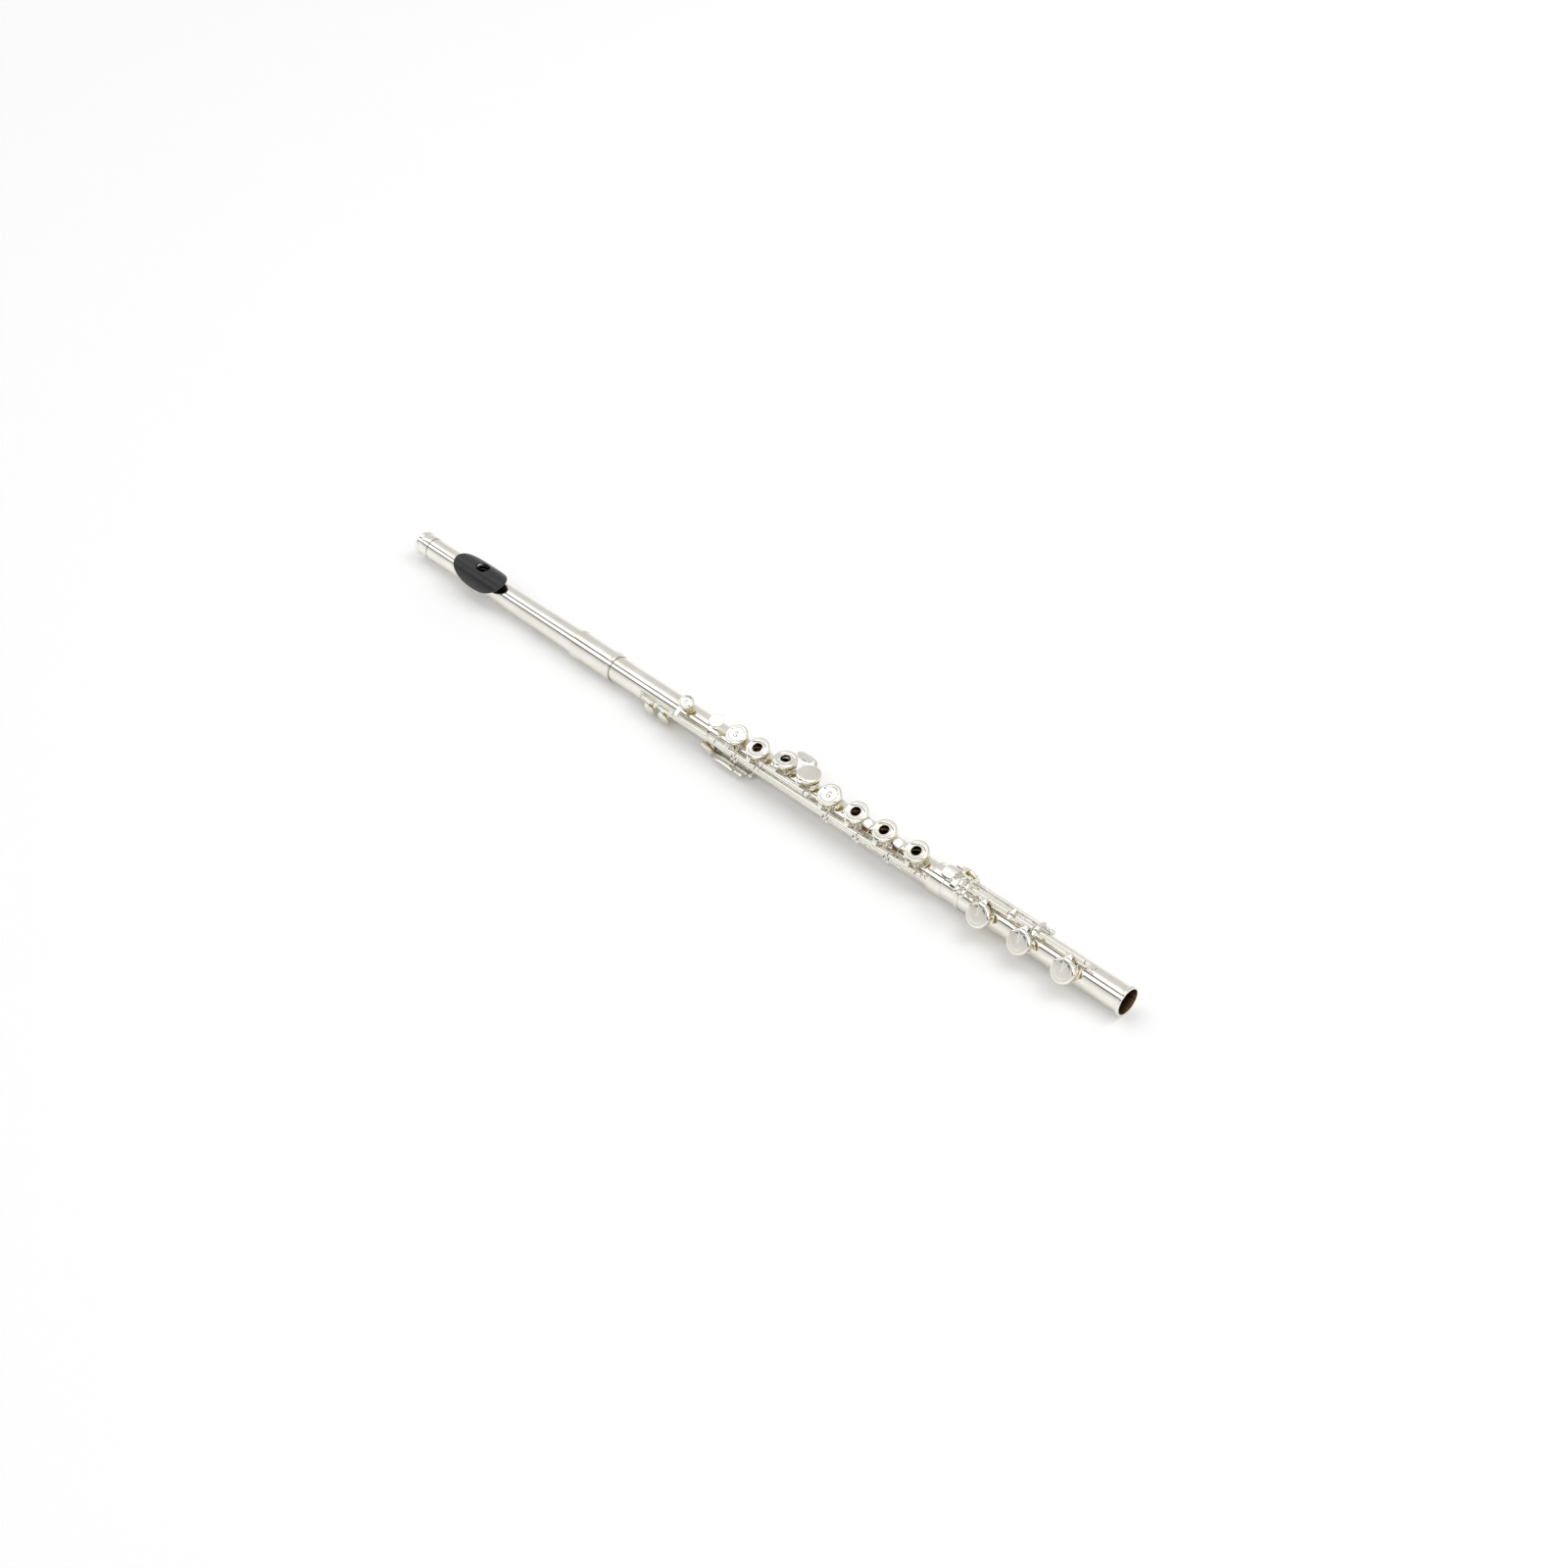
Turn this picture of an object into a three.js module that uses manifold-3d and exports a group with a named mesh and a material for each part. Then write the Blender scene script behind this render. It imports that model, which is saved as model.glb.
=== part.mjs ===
// Concert flute with a B foot: open-hole cups, offset G and a split mechanism.
// Millimetres, +Z up. The tube runs along X, from the crown (-X) to the foot's open end (+X).
// The player stands on the -Y side, where the key rods are.
import * as THREE from "three";
import { mergeVertices } from "three/addons/utils/BufferGeometryUtils.js";
import Module from "manifold-3d";

const wasm = await Module();
wasm.setup();

// ---- Driving dimensions -------------------------------------------------------------------
// Stations along the tube are measured from the middle of the blowing hole.
// Angles around the tube are in degrees from the key line, and grow towards the player.

const bodyRoll = 10; // the flute lies on its rings and thumb posts, rolled to the player
const footTurn = 53.7; // the foot joint's key line against the body's
const headTurn = -bodyRoll; // the blowing hole faces straight up

const clearance = 0.3; // between faces that touch on the real flute
const boreRadius = 9.5;
const tubeRadius = 9.9;
const rim = 12.2; // height of a tone hole's flat rim above the tube's axis

const station = {
  crownEnd: -76,
  crownSeat: -62,
  barrel: 113,
  headEnd: 142.5,
  bodyStart: 147,
  barrelEnd: 156,
  bodyEnd: 489,
  socket: 478,
  footTube: 490,
  footEnd: 645,
};

// Rod lines: the angle and radius of each hinge rod's axis, and its keys' tube radius.
const rods = {
  stack: { angle: 50, radius: 15.6, tube: 1.9 },
  offsetG: { angle: 33, radius: 15.6, tube: 1.9 },
  trill: { angle: 65, radius: 12.4, tube: 1.35 },
  thumb: { angle: 128, radius: 12.9, tube: 1.35 },
  gSharp: { angle: -118, radius: 14, tube: 1.5 },
  footKeys: { angle: -48, radius: 16, tube: 1.9 },
  cLever: { angle: -63, radius: 13, tube: 1.35 },
  bLever: { angle: -77.5, radius: 14, tube: 1.35 },
};
const rodRadius = 0.7;
const hingeBore = rodRadius + clearance;
const postHead = { radius: 1.9, length: 3.2 };

const offsetG = -17; // angle of the two G cups
const thumbLine = 98; // the thumb and trill cups' line
const gSharpLine = -79;
const dSharpLine = -125.7;

// Opening angles, in degrees.
const lift = { stack: 10, foot: -10, thumb: 6 };

const round = { tube: 24, cup: 16, pad: 12, hole: 12, rod: 6 };

// ---- Materials ----------------------------------------------------------------------------
const finish = (color, roughness, metalness) =>
  new THREE.MeshStandardMaterial({ color, roughness, metalness });
const silver = finish(0xe6e5e0, 0.12, 1);
const steel = finish(0xa9aaac, 0.25, 1);
const black = finish(0x232323, 0.45, 0);
const skin = finish(0xc9a85c, 0.6, 0);
const corkwood = finish(0xb98a58, 0.9, 0);

// ---- Geometry helpers ---------------------------------------------------------------------
const rad = THREE.MathUtils.degToRad;
const polar = (angle, radius) => [-radius * Math.sin(rad(angle)), radius * Math.cos(rad(angle))];

// A closed three.js geometry as a solid that can be cut and joined.
function solid(geometry) {
  const bare = geometry.index ? geometry.toNonIndexed() : geometry.clone();
  bare.deleteAttribute("normal");
  bare.deleteAttribute("uv");
  const merged = mergeVertices(bare, 1e-4);
  const triVerts = new Uint32Array(merged.index.array);
  const build = () =>
    new wasm.Manifold(
      new wasm.Mesh({ numProp: 3, vertProperties: merged.attributes.position.array, triVerts }),
    );
  const made = build();
  if (made.volume() > 0) return made;
  for (let i = 0; i < triVerts.length; i += 3)
    [triVerts[i + 1], triVerts[i + 2]] = [triVerts[i + 2], triVerts[i + 1]];
  return build();
}

const join = (solids) => solids.reduce((whole, next) => whole.add(next));

// A profile of [radius, station] points turned about the tube's axis.
function turned(profile, segments = round.tube) {
  const points = profile.map(([r, x]) => new THREE.Vector2(r, x));
  return solid(new THREE.LatheGeometry(points, segments).rotateZ(-Math.PI / 2));
}

// A hollow or plain cylinder along X, about a line at the given y and z.
function barAlongX(radius, from, to, [y, z] = [0, 0], segments = round.rod) {
  const bar = new THREE.CylinderGeometry(radius, radius, to - from, segments);
  return solid(bar.rotateZ(-Math.PI / 2).translate((from + to) / 2, y, z));
}

// A profile of [radius, height] points turned about a line that leaves the tube at an angle.
function onTube(profile, x, angle, segments) {
  const points = profile.map(([r, h]) => new THREE.Vector2(r, h));
  const form = new THREE.LatheGeometry(points, segments);
  return solid(form.rotateX(Math.PI / 2 + rad(angle)).translate(x, 0, 0));
}

// An outline of [y, z] points drawn out along X.
function drawnAlongX(outline, from, to) {
  const shape = new THREE.Shape(outline.map(([y, z]) => new THREE.Vector2(y, z)));
  const form = new THREE.ExtrudeGeometry(shape, { depth: to - from, bevelEnabled: false });
  const turn = new THREE.Matrix4().makeBasis(
    new THREE.Vector3(0, 1, 0),
    new THREE.Vector3(0, 0, 1),
    new THREE.Vector3(1, 0, 0),
  );
  return solid(form.applyMatrix4(turn).translate(from, 0, 0));
}

// A band that follows the tube between two angles.
function band([angle0, angle1], [inner, outer], [from, to], steps = 4) {
  const arc = (radius, a, b) =>
    Array.from({ length: steps + 1 }, (_, i) => polar(a + ((b - a) * i) / steps, radius));
  return drawnAlongX([...arc(outer, angle0, angle1), ...arc(inner, angle1, angle0)], from, to);
}

// A flat strap of constant thickness along a path of [y, z] points.
function strap(path, thickness, from, to) {
  const side = (sign) =>
    path.map(([y, z], i) => {
      const [y0, z0] = path[Math.max(i - 1, 0)];
      const [y1, z1] = path[Math.min(i + 1, path.length - 1)];
      const length = Math.hypot(y1 - y0, z1 - z0);
      const half = (sign * thickness) / 2 / length;
      return [y - (z1 - z0) * half, z + (y1 - y0) * half];
    });
  return drawnAlongX([...side(1), ...side(-1).reverse()], from, to);
}

const turnedBy = (angle, points) => {
  const [c, s] = [Math.cos(rad(angle)), Math.sin(rad(angle))];
  return points.map(([y, z]) => [y * c - z * s, y * s + z * c]);
};

function meshOf(name, made, material) {
  const { vertProperties, triVerts } = made.getMesh();
  const geometry = new THREE.BufferGeometry();
  geometry.setAttribute("position", new THREE.BufferAttribute(vertProperties, 3));
  geometry.setIndex(new THREE.BufferAttribute(triVerts, 1));
  geometry.computeVertexNormals();
  const mesh = new THREE.Mesh(geometry, material);
  mesh.name = name;
  return mesh;
}

function jointGroup(turn, meshes) {
  const group = new THREE.Group();
  group.rotation.x = rad(turn);
  group.add(...meshes);
  return group;
}

// ---- Tone holes, cups and pads ------------------------------------------------------------
// Cup sizes: outer radius, pad thickness and the height of the cup over its pad.
const large = { radius: 9.1, pad: 2, crown: 1.2, rim };
const middle = { radius: 8.6, pad: 2, crown: 1.2, rim };
const cSharpSize = { radius: 6.2, pad: 1.6, crown: 1, rim: 11.8 };
const trillSize = { radius: 5.3, pad: 1.3, crown: 0.9, rim: 11.6 };
const thumbSize = { radius: 6.2, pad: 1.4, crown: 1, rim: 11.8 };
const gSharpSize = { radius: 6, pad: 1.8, crown: 1.1, rim };
const dSharpSize = { radius: 8, pad: 2, crown: 1.2, rim };

const cupWall = 0.6;
const chimneyWall = 0.7;
const fingerHole = 3.75;
const toneHole = (size) => size.radius - (size.radius > 7 ? 1.8 : 2.2);

// A raised rim with its hole, as one solid to add and one to cut.
function chimney(x, angle, size) {
  const inside = toneHole(size);
  const outside = inside + chimneyWall;
  const foot = 5;
  const over = size.rim + 3;
  return {
    add: onTube([[0, foot], [outside, foot], [outside, size.rim], [0, size.rim]], x, angle, round.hole),
    cut: onTube([[0, foot], [inside, foot], [inside, over], [0, over]], x, angle, round.hole),
  };
}

const padBottom = (size) => size.rim + clearance;
const padTop = (size) => padBottom(size) + size.pad;
const cupCeiling = (size) => padTop(size) + clearance;
const cupTop = (size) => cupCeiling(size) + size.crown;

function cup(x, angle, size, open = false) {
  const wall = size.radius;
  const skirt = padBottom(size) + 0.8;
  const start = open ? fingerHole : 0;
  const profile = [
    [start, cupCeiling(size)],
    [wall - cupWall, cupCeiling(size)],
    [wall - cupWall, skirt],
    [wall, skirt],
    [wall, cupTop(size) - 0.5],
    [wall - 0.6, cupTop(size)],
    [start, cupTop(size)],
  ];
  if (open) profile.push(profile[0]);
  return onTube(profile, x, angle, round.cup);
}

function padSolid(x, angle, size, open = false) {
  const edge = size.radius - cupWall - clearance;
  const start = open ? fingerHole + clearance : 0;
  const profile = [
    [start, padBottom(size)],
    [edge, padBottom(size)],
    [edge, padTop(size)],
    [start, padTop(size)],
  ];
  if (open) profile.push(profile[0]);
  return onTube(profile, x, angle, round.pad);
}

// The arm that carries a cup: up from the rod, then onto the cup's top.
function cupArm(x, angle, size, rod, width = 4) {
  const [y, z] = polar(rod.angle - angle, rod.radius);
  const side = Math.sign(y);
  const top = cupTop(size) - size.crown / 2;
  const path = [
    [y, z],
    [y * 0.96, z + (top - z) * 0.55],
    [side * (size.radius - 0.5), top - 0.2],
    [side * (size.radius - 2.4), top],
  ];
  return strap(turnedBy(angle, path), size.crown, x - width / 2, x + width / 2);
}

// ---- Keys ---------------------------------------------------------------------------------
// A key is built shut and then turned about its rod by its lift. Its meshes share one group,
// whose origin is on the rod, so that the group's place is the hinge.
function key({ name, rod, tube, shaft, cups = [], extras = [], turn = 0 }) {
  const axis = polar(rod.angle, rod.radius);
  const parts = [barAlongX(rod.tube, tube[0], tube[1], axis, round.rod + 2)];
  cups.forEach((c) => {
    parts.push(cup(c.x, c.angle, c.size, c.open));
    parts.push(cupArm(c.x, c.angle, c.size, rod));
  });
  let body = join([...parts, ...extras]);
  if (shaft) body = body.add(barAlongX(rodRadius, shaft[0], shaft[1], axis));
  else body = body.subtract(barAlongX(hingeBore, tube[0] - 1, tube[1] + 1, axis));
  const meshes = [meshOf(name, body, silver)];
  cups.forEach((c) => meshes.push(meshOf(c.pad, padSolid(c.x, c.angle, c.size, c.open), skin)));
  const group = new THREE.Group();
  group.position.set(0, ...axis);
  group.rotation.x = rad(turn);
  meshes.forEach((m) => m.geometry.translate(0, -axis[0], -axis[1]));
  group.add(...meshes);
  return group;
}

// A lever arm through the given [angle, radius] points.
const armOf = (points, thickness, from, to) =>
  strap(points.map(([angle, radius]) => polar(angle, radius)), thickness, from, to);

// ---- Rods, posts and ribs -----------------------------------------------------------------
function steelRod(name, rod, from, to) {
  return meshOf(name, barAlongX(rodRadius, from, to, polar(rod.angle, rod.radius)), steel);
}

// A post: a tapered stem with a drilled head on the rod's line.
function post(x, rod, base) {
  const stem = new THREE.CylinderGeometry(0.95, 1.15, rod.radius - base, 6);
  const middleHeight = (rod.radius + base) / 2;
  stem.translate(0, middleHeight, 0).rotateX(Math.PI / 2 + rad(rod.angle)).translate(x, 0, 0);
  const half = postHead.length / 2;
  const axis = polar(rod.angle, rod.radius);
  const head = barAlongX(postHead.radius, x - half, x + half, axis, round.rod + 2);
  const drill = barAlongX(hingeBore, x - half - 1, x + half + 1, axis);
  return solid(stem).add(head).subtract(drill);
}

const ribInner = tubeRadius + clearance;
const ribOuter = ribInner + 0.5;
const postFoot = 1.6; // half the length of a post's foot

// A rib is a long strip soldered along the tube, with a foot for each post that stands on it.
function rib(name, angles, [from, to], posts) {
  const heights = [ribInner, ribOuter];
  const strip = band(angles, heights, [from, to]);
  const feet = posts.map(([x, rod]) =>
    band([rod.angle - 7, rod.angle + 7], heights, [x - postFoot, x + postFoot], 2));
  const standing = posts.map(([x, rod]) => post(x, rod, ribOuter - 0.4));
  return meshOf(name, join([strip, ...feet, ...standing]), silver);
}

// ---- Head joint ---------------------------------------------------------------------------
const headBore = { crown: 8.5, middle: 8.9, tenon: boreRadius };
const headWall = tubeRadius - boreRadius;

// The blowing hole: a rounded rectangle, cut through lip plate, riser and tube.
function blowingHole(grow) {
  const length = 12 + grow;
  const width = 10 + grow;
  const corner = 4;
  const shape = new THREE.Shape();
  const [a, b] = [length / 2 - corner, width / 2 - corner];
  const r = corner;
  shape.absarc(a, b, r, 0, Math.PI / 2);
  shape.absarc(-a, b, r, Math.PI / 2, Math.PI);
  shape.absarc(-a, -b, r, Math.PI, Math.PI * 1.5);
  shape.absarc(a, -b, r, Math.PI * 1.5, Math.PI * 2);
  const form = new THREE.ExtrudeGeometry(shape, { depth: 20, bevelEnabled: false, curveSegments: 3 });
  return form;
}

function headTube() {
  const { crown, middle: mid, tenon } = headBore;
  const tube = turned([
    [crown, station.crownSeat],
    [crown + headWall, station.crownSeat],
    [crown + headWall, -20],
    [mid + headWall, 50],
    [tenon + headWall, station.barrel - 2],
    [tenon + headWall, station.headEnd],
    [tenon, station.headEnd],
    [tenon, station.barrel - 2],
    [mid, 50],
    [crown, -20],
    [crown, station.crownSeat],
  ]);
  return tube.subtract(solid(blowingHole(0)));
}

// The lip plate's wrap is wider on the player's side.
const lip = { halfLength: 28, from: -50, to: 85, inner: 12.6, outer: 14.1 };

function lipPlate() {
  const { halfLength, from, to, inner, outer } = lip;
  const shell = band([from, to], [inner, outer], [-halfLength, halfLength], 18);
  const plan = new THREE.Shape();
  plan.absellipse(0, 0, halfLength, outer * Math.sin(rad((to - from) / 2)) + 0.2, 0, Math.PI * 2);
  const oval = new THREE.ExtrudeGeometry(plan, { depth: 24, bevelEnabled: false, curveSegments: 14 });
  const around = oval.rotateX(rad((from + to) / 2));
  return shell.intersect(solid(around)).subtract(solid(blowingHole(0)));
}

function embouchureRiser() {
  const top = barAlongX(lip.inner - clearance, -12, 12, [0, 0], 24);
  const tube = barAlongX(headBore.middle + headWall + clearance / 2, -12, 12, [0, 0], 24);
  return solid(blowingHole(3)).intersect(top).subtract(tube).subtract(solid(blowingHole(0)));
}

function crownShape() {
  const { crownEnd, crownSeat } = station;
  return turned([
    [0, crownEnd + 2],
    [1.9, crownEnd + 2],
    [1.9, crownSeat - clearance],
    [9.3, crownSeat - clearance],
    [9.3, crownEnd + 4.5],
    [9.8, crownEnd + 3.5],
    [9.8, crownEnd + 1.5],
    [9, crownEnd],
    [0, crownEnd],
  ], 24);
}

function headJoint() {
  const stopperFace = -17;
  const corkFrom = stopperFace - 16;
  const bore = headBore.crown;
  const stopperScrew = turned([
    [0, station.crownSeat - 10],
    [1.6, station.crownSeat - 10],
    [1.6, stopperFace - 1],
    [bore - clearance, stopperFace - 1],
    [bore - clearance, stopperFace],
    [0, stopperFace],
  ], 20);
  const drilled = (outer, from, to) =>
    barAlongX(outer, from, to, [0, 0], 20).subtract(barAlongX(1.9, from - 1, to + 1, [0, 0], 12));
  return jointGroup(headTurn, [
    meshOf("head_tube", headTube(), silver),
    meshOf("lip_plate", lipPlate(), black),
    meshOf("embouchure_riser", embouchureRiser(), silver),
    meshOf("crown", crownShape(), silver),
    meshOf("stopper_screw", stopperScrew, silver),
    meshOf("stopper_cork", drilled(bore - clearance, corkFrom, stopperFace - 1.3), corkwood),
    meshOf("stopper_nut", drilled(bore - 1, corkFrom - 2, corkFrom - clearance), silver),
  ]);
}

// ---- Body joint ---------------------------------------------------------------------------
// Stations of the body's tone holes, from the head end.
const hole = {
  dSharpTrill: 204,
  dTrill: 219,
  cSharp: 235,
  thumb: 266.5,
  bFlat: 288.3,
  a: 309.8,
  upperG: 333,
  gSharp: 344.5,
  lowerG: 356,
  fSharp: 381,
  f: 406.6,
  e: 433.4,
  d: 463.3,
};
const indexTouch = 268;

function tubeWithHoles(wall, bore, holes) {
  const rims = holes.map(([x, angle, size]) => chimney(x, angle, size));
  return join([wall, ...rims.map((r) => r.add)]).subtract(join([bore, ...rims.map((r) => r.cut)]));
}

function bodyTube() {
  const wall = barAlongX(tubeRadius, station.bodyStart, station.bodyEnd, [0, 0], round.tube);
  const bore = barAlongX(boreRadius, station.bodyStart - 1, station.bodyEnd + 1, [0, 0], round.tube);
  return tubeWithHoles(wall, bore, [
    [hole.dSharpTrill, thumbLine, trillSize],
    [hole.dTrill, thumbLine, trillSize],
    [hole.cSharp, 0, cSharpSize],
    [hole.thumb, thumbLine, thumbSize],
    [hole.bFlat, 0, middle],
    [hole.a, 0, large],
    [hole.upperG, offsetG, large],
    [hole.gSharp, gSharpLine, gSharpSize],
    [hole.lowerG, offsetG, large],
    [hole.fSharp, 0, large],
    [hole.f, 0, large],
    [hole.e, 0, large],
    [hole.d, 0, large],
  ]);
}

function barrel() {
  const inside = tubeRadius + clearance;
  const [from, to] = [station.barrel, station.barrelEnd];
  const ring = 11.5;
  const ringWidth = 2.6;
  return turned([
    [inside, from],
    [ring, from],
    [ring, from + ringWidth],
    [11, from + ringWidth + 0.5],
    [11, to - ringWidth - 0.5],
    [ring, to - ringWidth],
    [ring, to],
    [inside, to],
    [inside, from],
  ]);
}

const cupOf = (x, pad, size, open = false, angle = 0) => ({ x, pad, size, open, angle });

function stackKeys() {
  const rod = rods.stack;
  const turn = lift.stack;
  const single = (name, cupAt, tube, extras) =>
    key({ name, rod, turn, tube, extras, cups: [cupAt] });
  const plate = { radius: 6.1, crown: 1.4, pad: 0, rim: 14.6 };
  const [low, high] = [cupCeiling(plate), cupTop(plate)];
  const indexPlate = onTube(
    [[0, low], [6.1, low], [6.1, high], [0, high]], indexTouch, 0, round.cup,
  );
  return [
    single("c_sharp_key", cupOf(hole.cSharp, "c_sharp_pad", cSharpSize), [232.5, 276], [
      indexPlate,
      cupArm(indexTouch, 0, plate, rod),
    ]),
    single("b_flat_key", cupOf(hole.bFlat, "b_flat_pad", middle), [276.6, 297.2]),
    single("a_key", cupOf(hole.a, "a_pad", large, true), [297.8, 316.8]),
    key({
      name: "g_key", rod: rods.offsetG, turn, tube: [322.6, 362.8],
      cups: [
        cupOf(hole.upperG, "upper_g_pad", large, true, offsetG),
        cupOf(hole.lowerG, "lower_g_pad", large, false, offsetG),
      ],
    }),
    single("f_sharp_key", cupOf(hole.fSharp, "f_sharp_pad", large), [321.2, 388.4]),
    single("f_key", cupOf(hole.f, "f_pad", large, true), [389, 417.4]),
    single("e_key", cupOf(hole.e, "e_pad", large, true), [418, 446.4]),
    single("d_key", cupOf(hole.d, "d_pad", large, true), [447, 471.7]),
  ];
}

// The trill keys turn together on one line: the D sharp key's shaft runs inside the D key's
// tube. Their touches lie between the F, E and D cups, and their arms pass under the stack.
const trillTouch = { d: 420, dSharp: 448.4, width: 6.6 };

function trillTouchOf(x) {
  const half = trillTouch.width / 2;
  return [
    armOf([[65, 12.4], [58, 12.4], [50, 12.3], [42, 12.4], [34, 13.4], [24, 16.5]], 1.2, x - 1.5, x + 1.5),
    band([2, 27], [16, 17.2], [x - half, x + half], 4),
  ];
}

function trillKeys() {
  const rod = rods.trill;
  const axis = polar(rod.angle, rod.radius);
  const outer = key({
    name: "d_trill_key", rod, tube: [214, 424.6],
    cups: [cupOf(hole.dTrill, "d_trill_pad", trillSize, false, thumbLine)],
    extras: trillTouchOf(trillTouch.d),
  });
  const inner = key({
    name: "d_sharp_trill_key", rod, shaft: [191.5, 457.5], tube: [195.8, 208.8],
    cups: [cupOf(hole.dSharpTrill, "d_sharp_trill_pad", trillSize, false, thumbLine)],
    extras: [...trillTouchOf(trillTouch.dSharp), barAlongX(rod.tube, 444.5, 453.4, axis, round.rod + 2)],
  });
  return [outer, inner];
}

function backKeys() {
  const rod = rods.thumb;
  const plateHeights = [16, 17.2];
  const thumbTouch = (from, to) => band([91, 110], plateHeights, [from, to], 4);
  const thumbArm = (x) => armOf([[128, 12.9], [121, 15], [109, 16.6]], 1.2, x - 2.5, x + 2.5);
  return [
    key({
      name: "b_thumb_key", rod, turn: lift.thumb, tube: [260, 291.4],
      cups: [cupOf(hole.thumb, "b_thumb_pad", thumbSize, false, thumbLine)],
      extras: [thumbTouch(276.5, 295.5), thumbArm(286)],
    }),
    key({
      name: "b_flat_thumb_lever", rod, turn: lift.thumb, tube: [292, 304.2],
      extras: [thumbTouch(296.5, 306), thumbArm(300.5)],
    }),
    key({
      name: "g_sharp_key", rod: rods.gSharp, tube: [335.4, 366],
      cups: [cupOf(hole.gSharp, "g_sharp_pad", gSharpSize, false, gSharpLine)],
      extras: [
        armOf([[-118, 14], [-108, 18], [-90, 20.5], [-74, 21.8], [-68, 21.6]], 1.4, 342, 346),
        armOf([[-76, 22.6], [-70, 21.4], [-64, 20.4], [-58, 19.8], [-52, 19.6]], 1.2, 331, 346.2),
      ],
    }),
  ];
}

function bodyJoint() {
  const { stack, offsetG: rodG, trill, thumb, gSharp } = rods;
  return jointGroup(0, [
    meshOf("body_tube", bodyTube(), silver),
    meshOf("barrel", barrel(), silver),
    rib("main_rib", [54.5, 69], [190, 477], [
      [230, stack], [319, stack], [474, stack],
      [193.5, trill], [211.4, trill], [427.2, trill], [455.8, trill],
    ]),
    rib("g_rib", [36.8, 41.5], [317.6, 368.5], [[320.2, rodG], [365.2, rodG]]),
    rib("thumb_rib", [128, 135], [255, 309], [[257.6, thumb], [306.6, thumb]]),
    rib("g_sharp_rib", [-124, -112], [330, 371], [[333, gSharp], [368.4, gSharp]]),
    steelRod("main_rod", stack, 228.5, 475.5),
    steelRod("g_rod", rodG, 318.8, 366.6),
    steelRod("thumb_rod", thumb, 256.2, 308),
    steelRod("g_sharp_rod", gSharp, 331.6, 369.8),
    ...stackKeys(),
    ...trillKeys(),
    ...backKeys(),
  ]);
}

// ---- Foot joint ---------------------------------------------------------------------------
const footHole = { dSharp: 498.5, cSharp: 528.4, c: 563.9, b: 601.5 };

function footTube() {
  const socketBore = tubeRadius + clearance;
  const { socket, footTube: start, footEnd: end } = station;
  const wall = turned([
    [0, socket],
    [11.3, socket],
    [11.3, socket + 1.6],
    [10.8, socket + 1.6],
    [10.8, start + 0.2],
    [tubeRadius, start + 0.8],
    [tubeRadius, end - 3],
    [11.2, end - 2],
    [11.2, end],
    [0, end],
  ]);
  const bore = turned([
    [0, socket - 1],
    [socketBore, socket - 1],
    [socketBore, start],
    [boreRadius, start],
    [boreRadius, end + 1],
    [0, end + 1],
  ]);
  return tubeWithHoles(wall, bore, [
    [footHole.dSharp, dSharpLine, dSharpSize],
    [footHole.cSharp, 0, large],
    [footHole.c, 0, large],
    [footHole.b, 0, large],
  ]);
}

// A roller lies across the tube, on a pin at the end of its lever's arm.
const roller = { angle: -33.7, height: 20.1, radius: 1.5, length: 10 };
const rollerAt = { c: 507.3, b: 512.7 };

function rollerBody(radius, from, to, x) {
  const form = new THREE.CylinderGeometry(radius, radius, to - from, round.rod + 2);
  form.translate(0, (from + to) / 2, roller.height).rotateX(rad(roller.angle)).translate(x, 0, 0);
  return solid(form);
}

function rollerArm(rod, x) {
  const path = [[rod.angle, rod.radius], [rod.angle + 3, 18], [-58, 20.6], [-52.5, 21.3]];
  return [armOf(path, 1.4, x - 1.4, x + 1.4), rollerBody(0.6, -5, 7.4, x)];
}

// A lever's finger arches over the key rod and bears on the lug of the key it closes.
function leverFinger(rod, x) {
  const path = [
    [rod.angle, rod.radius], [rod.angle + 4, 18.4], [-58, 19.9], [-48, 19.9], [-38, 19.2], [-30, 18.5],
  ];
  return armOf(path, 1.1, x - 1.5, x + 1.5);
}

const fingerAt = { c: 550, b: 571 };

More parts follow.
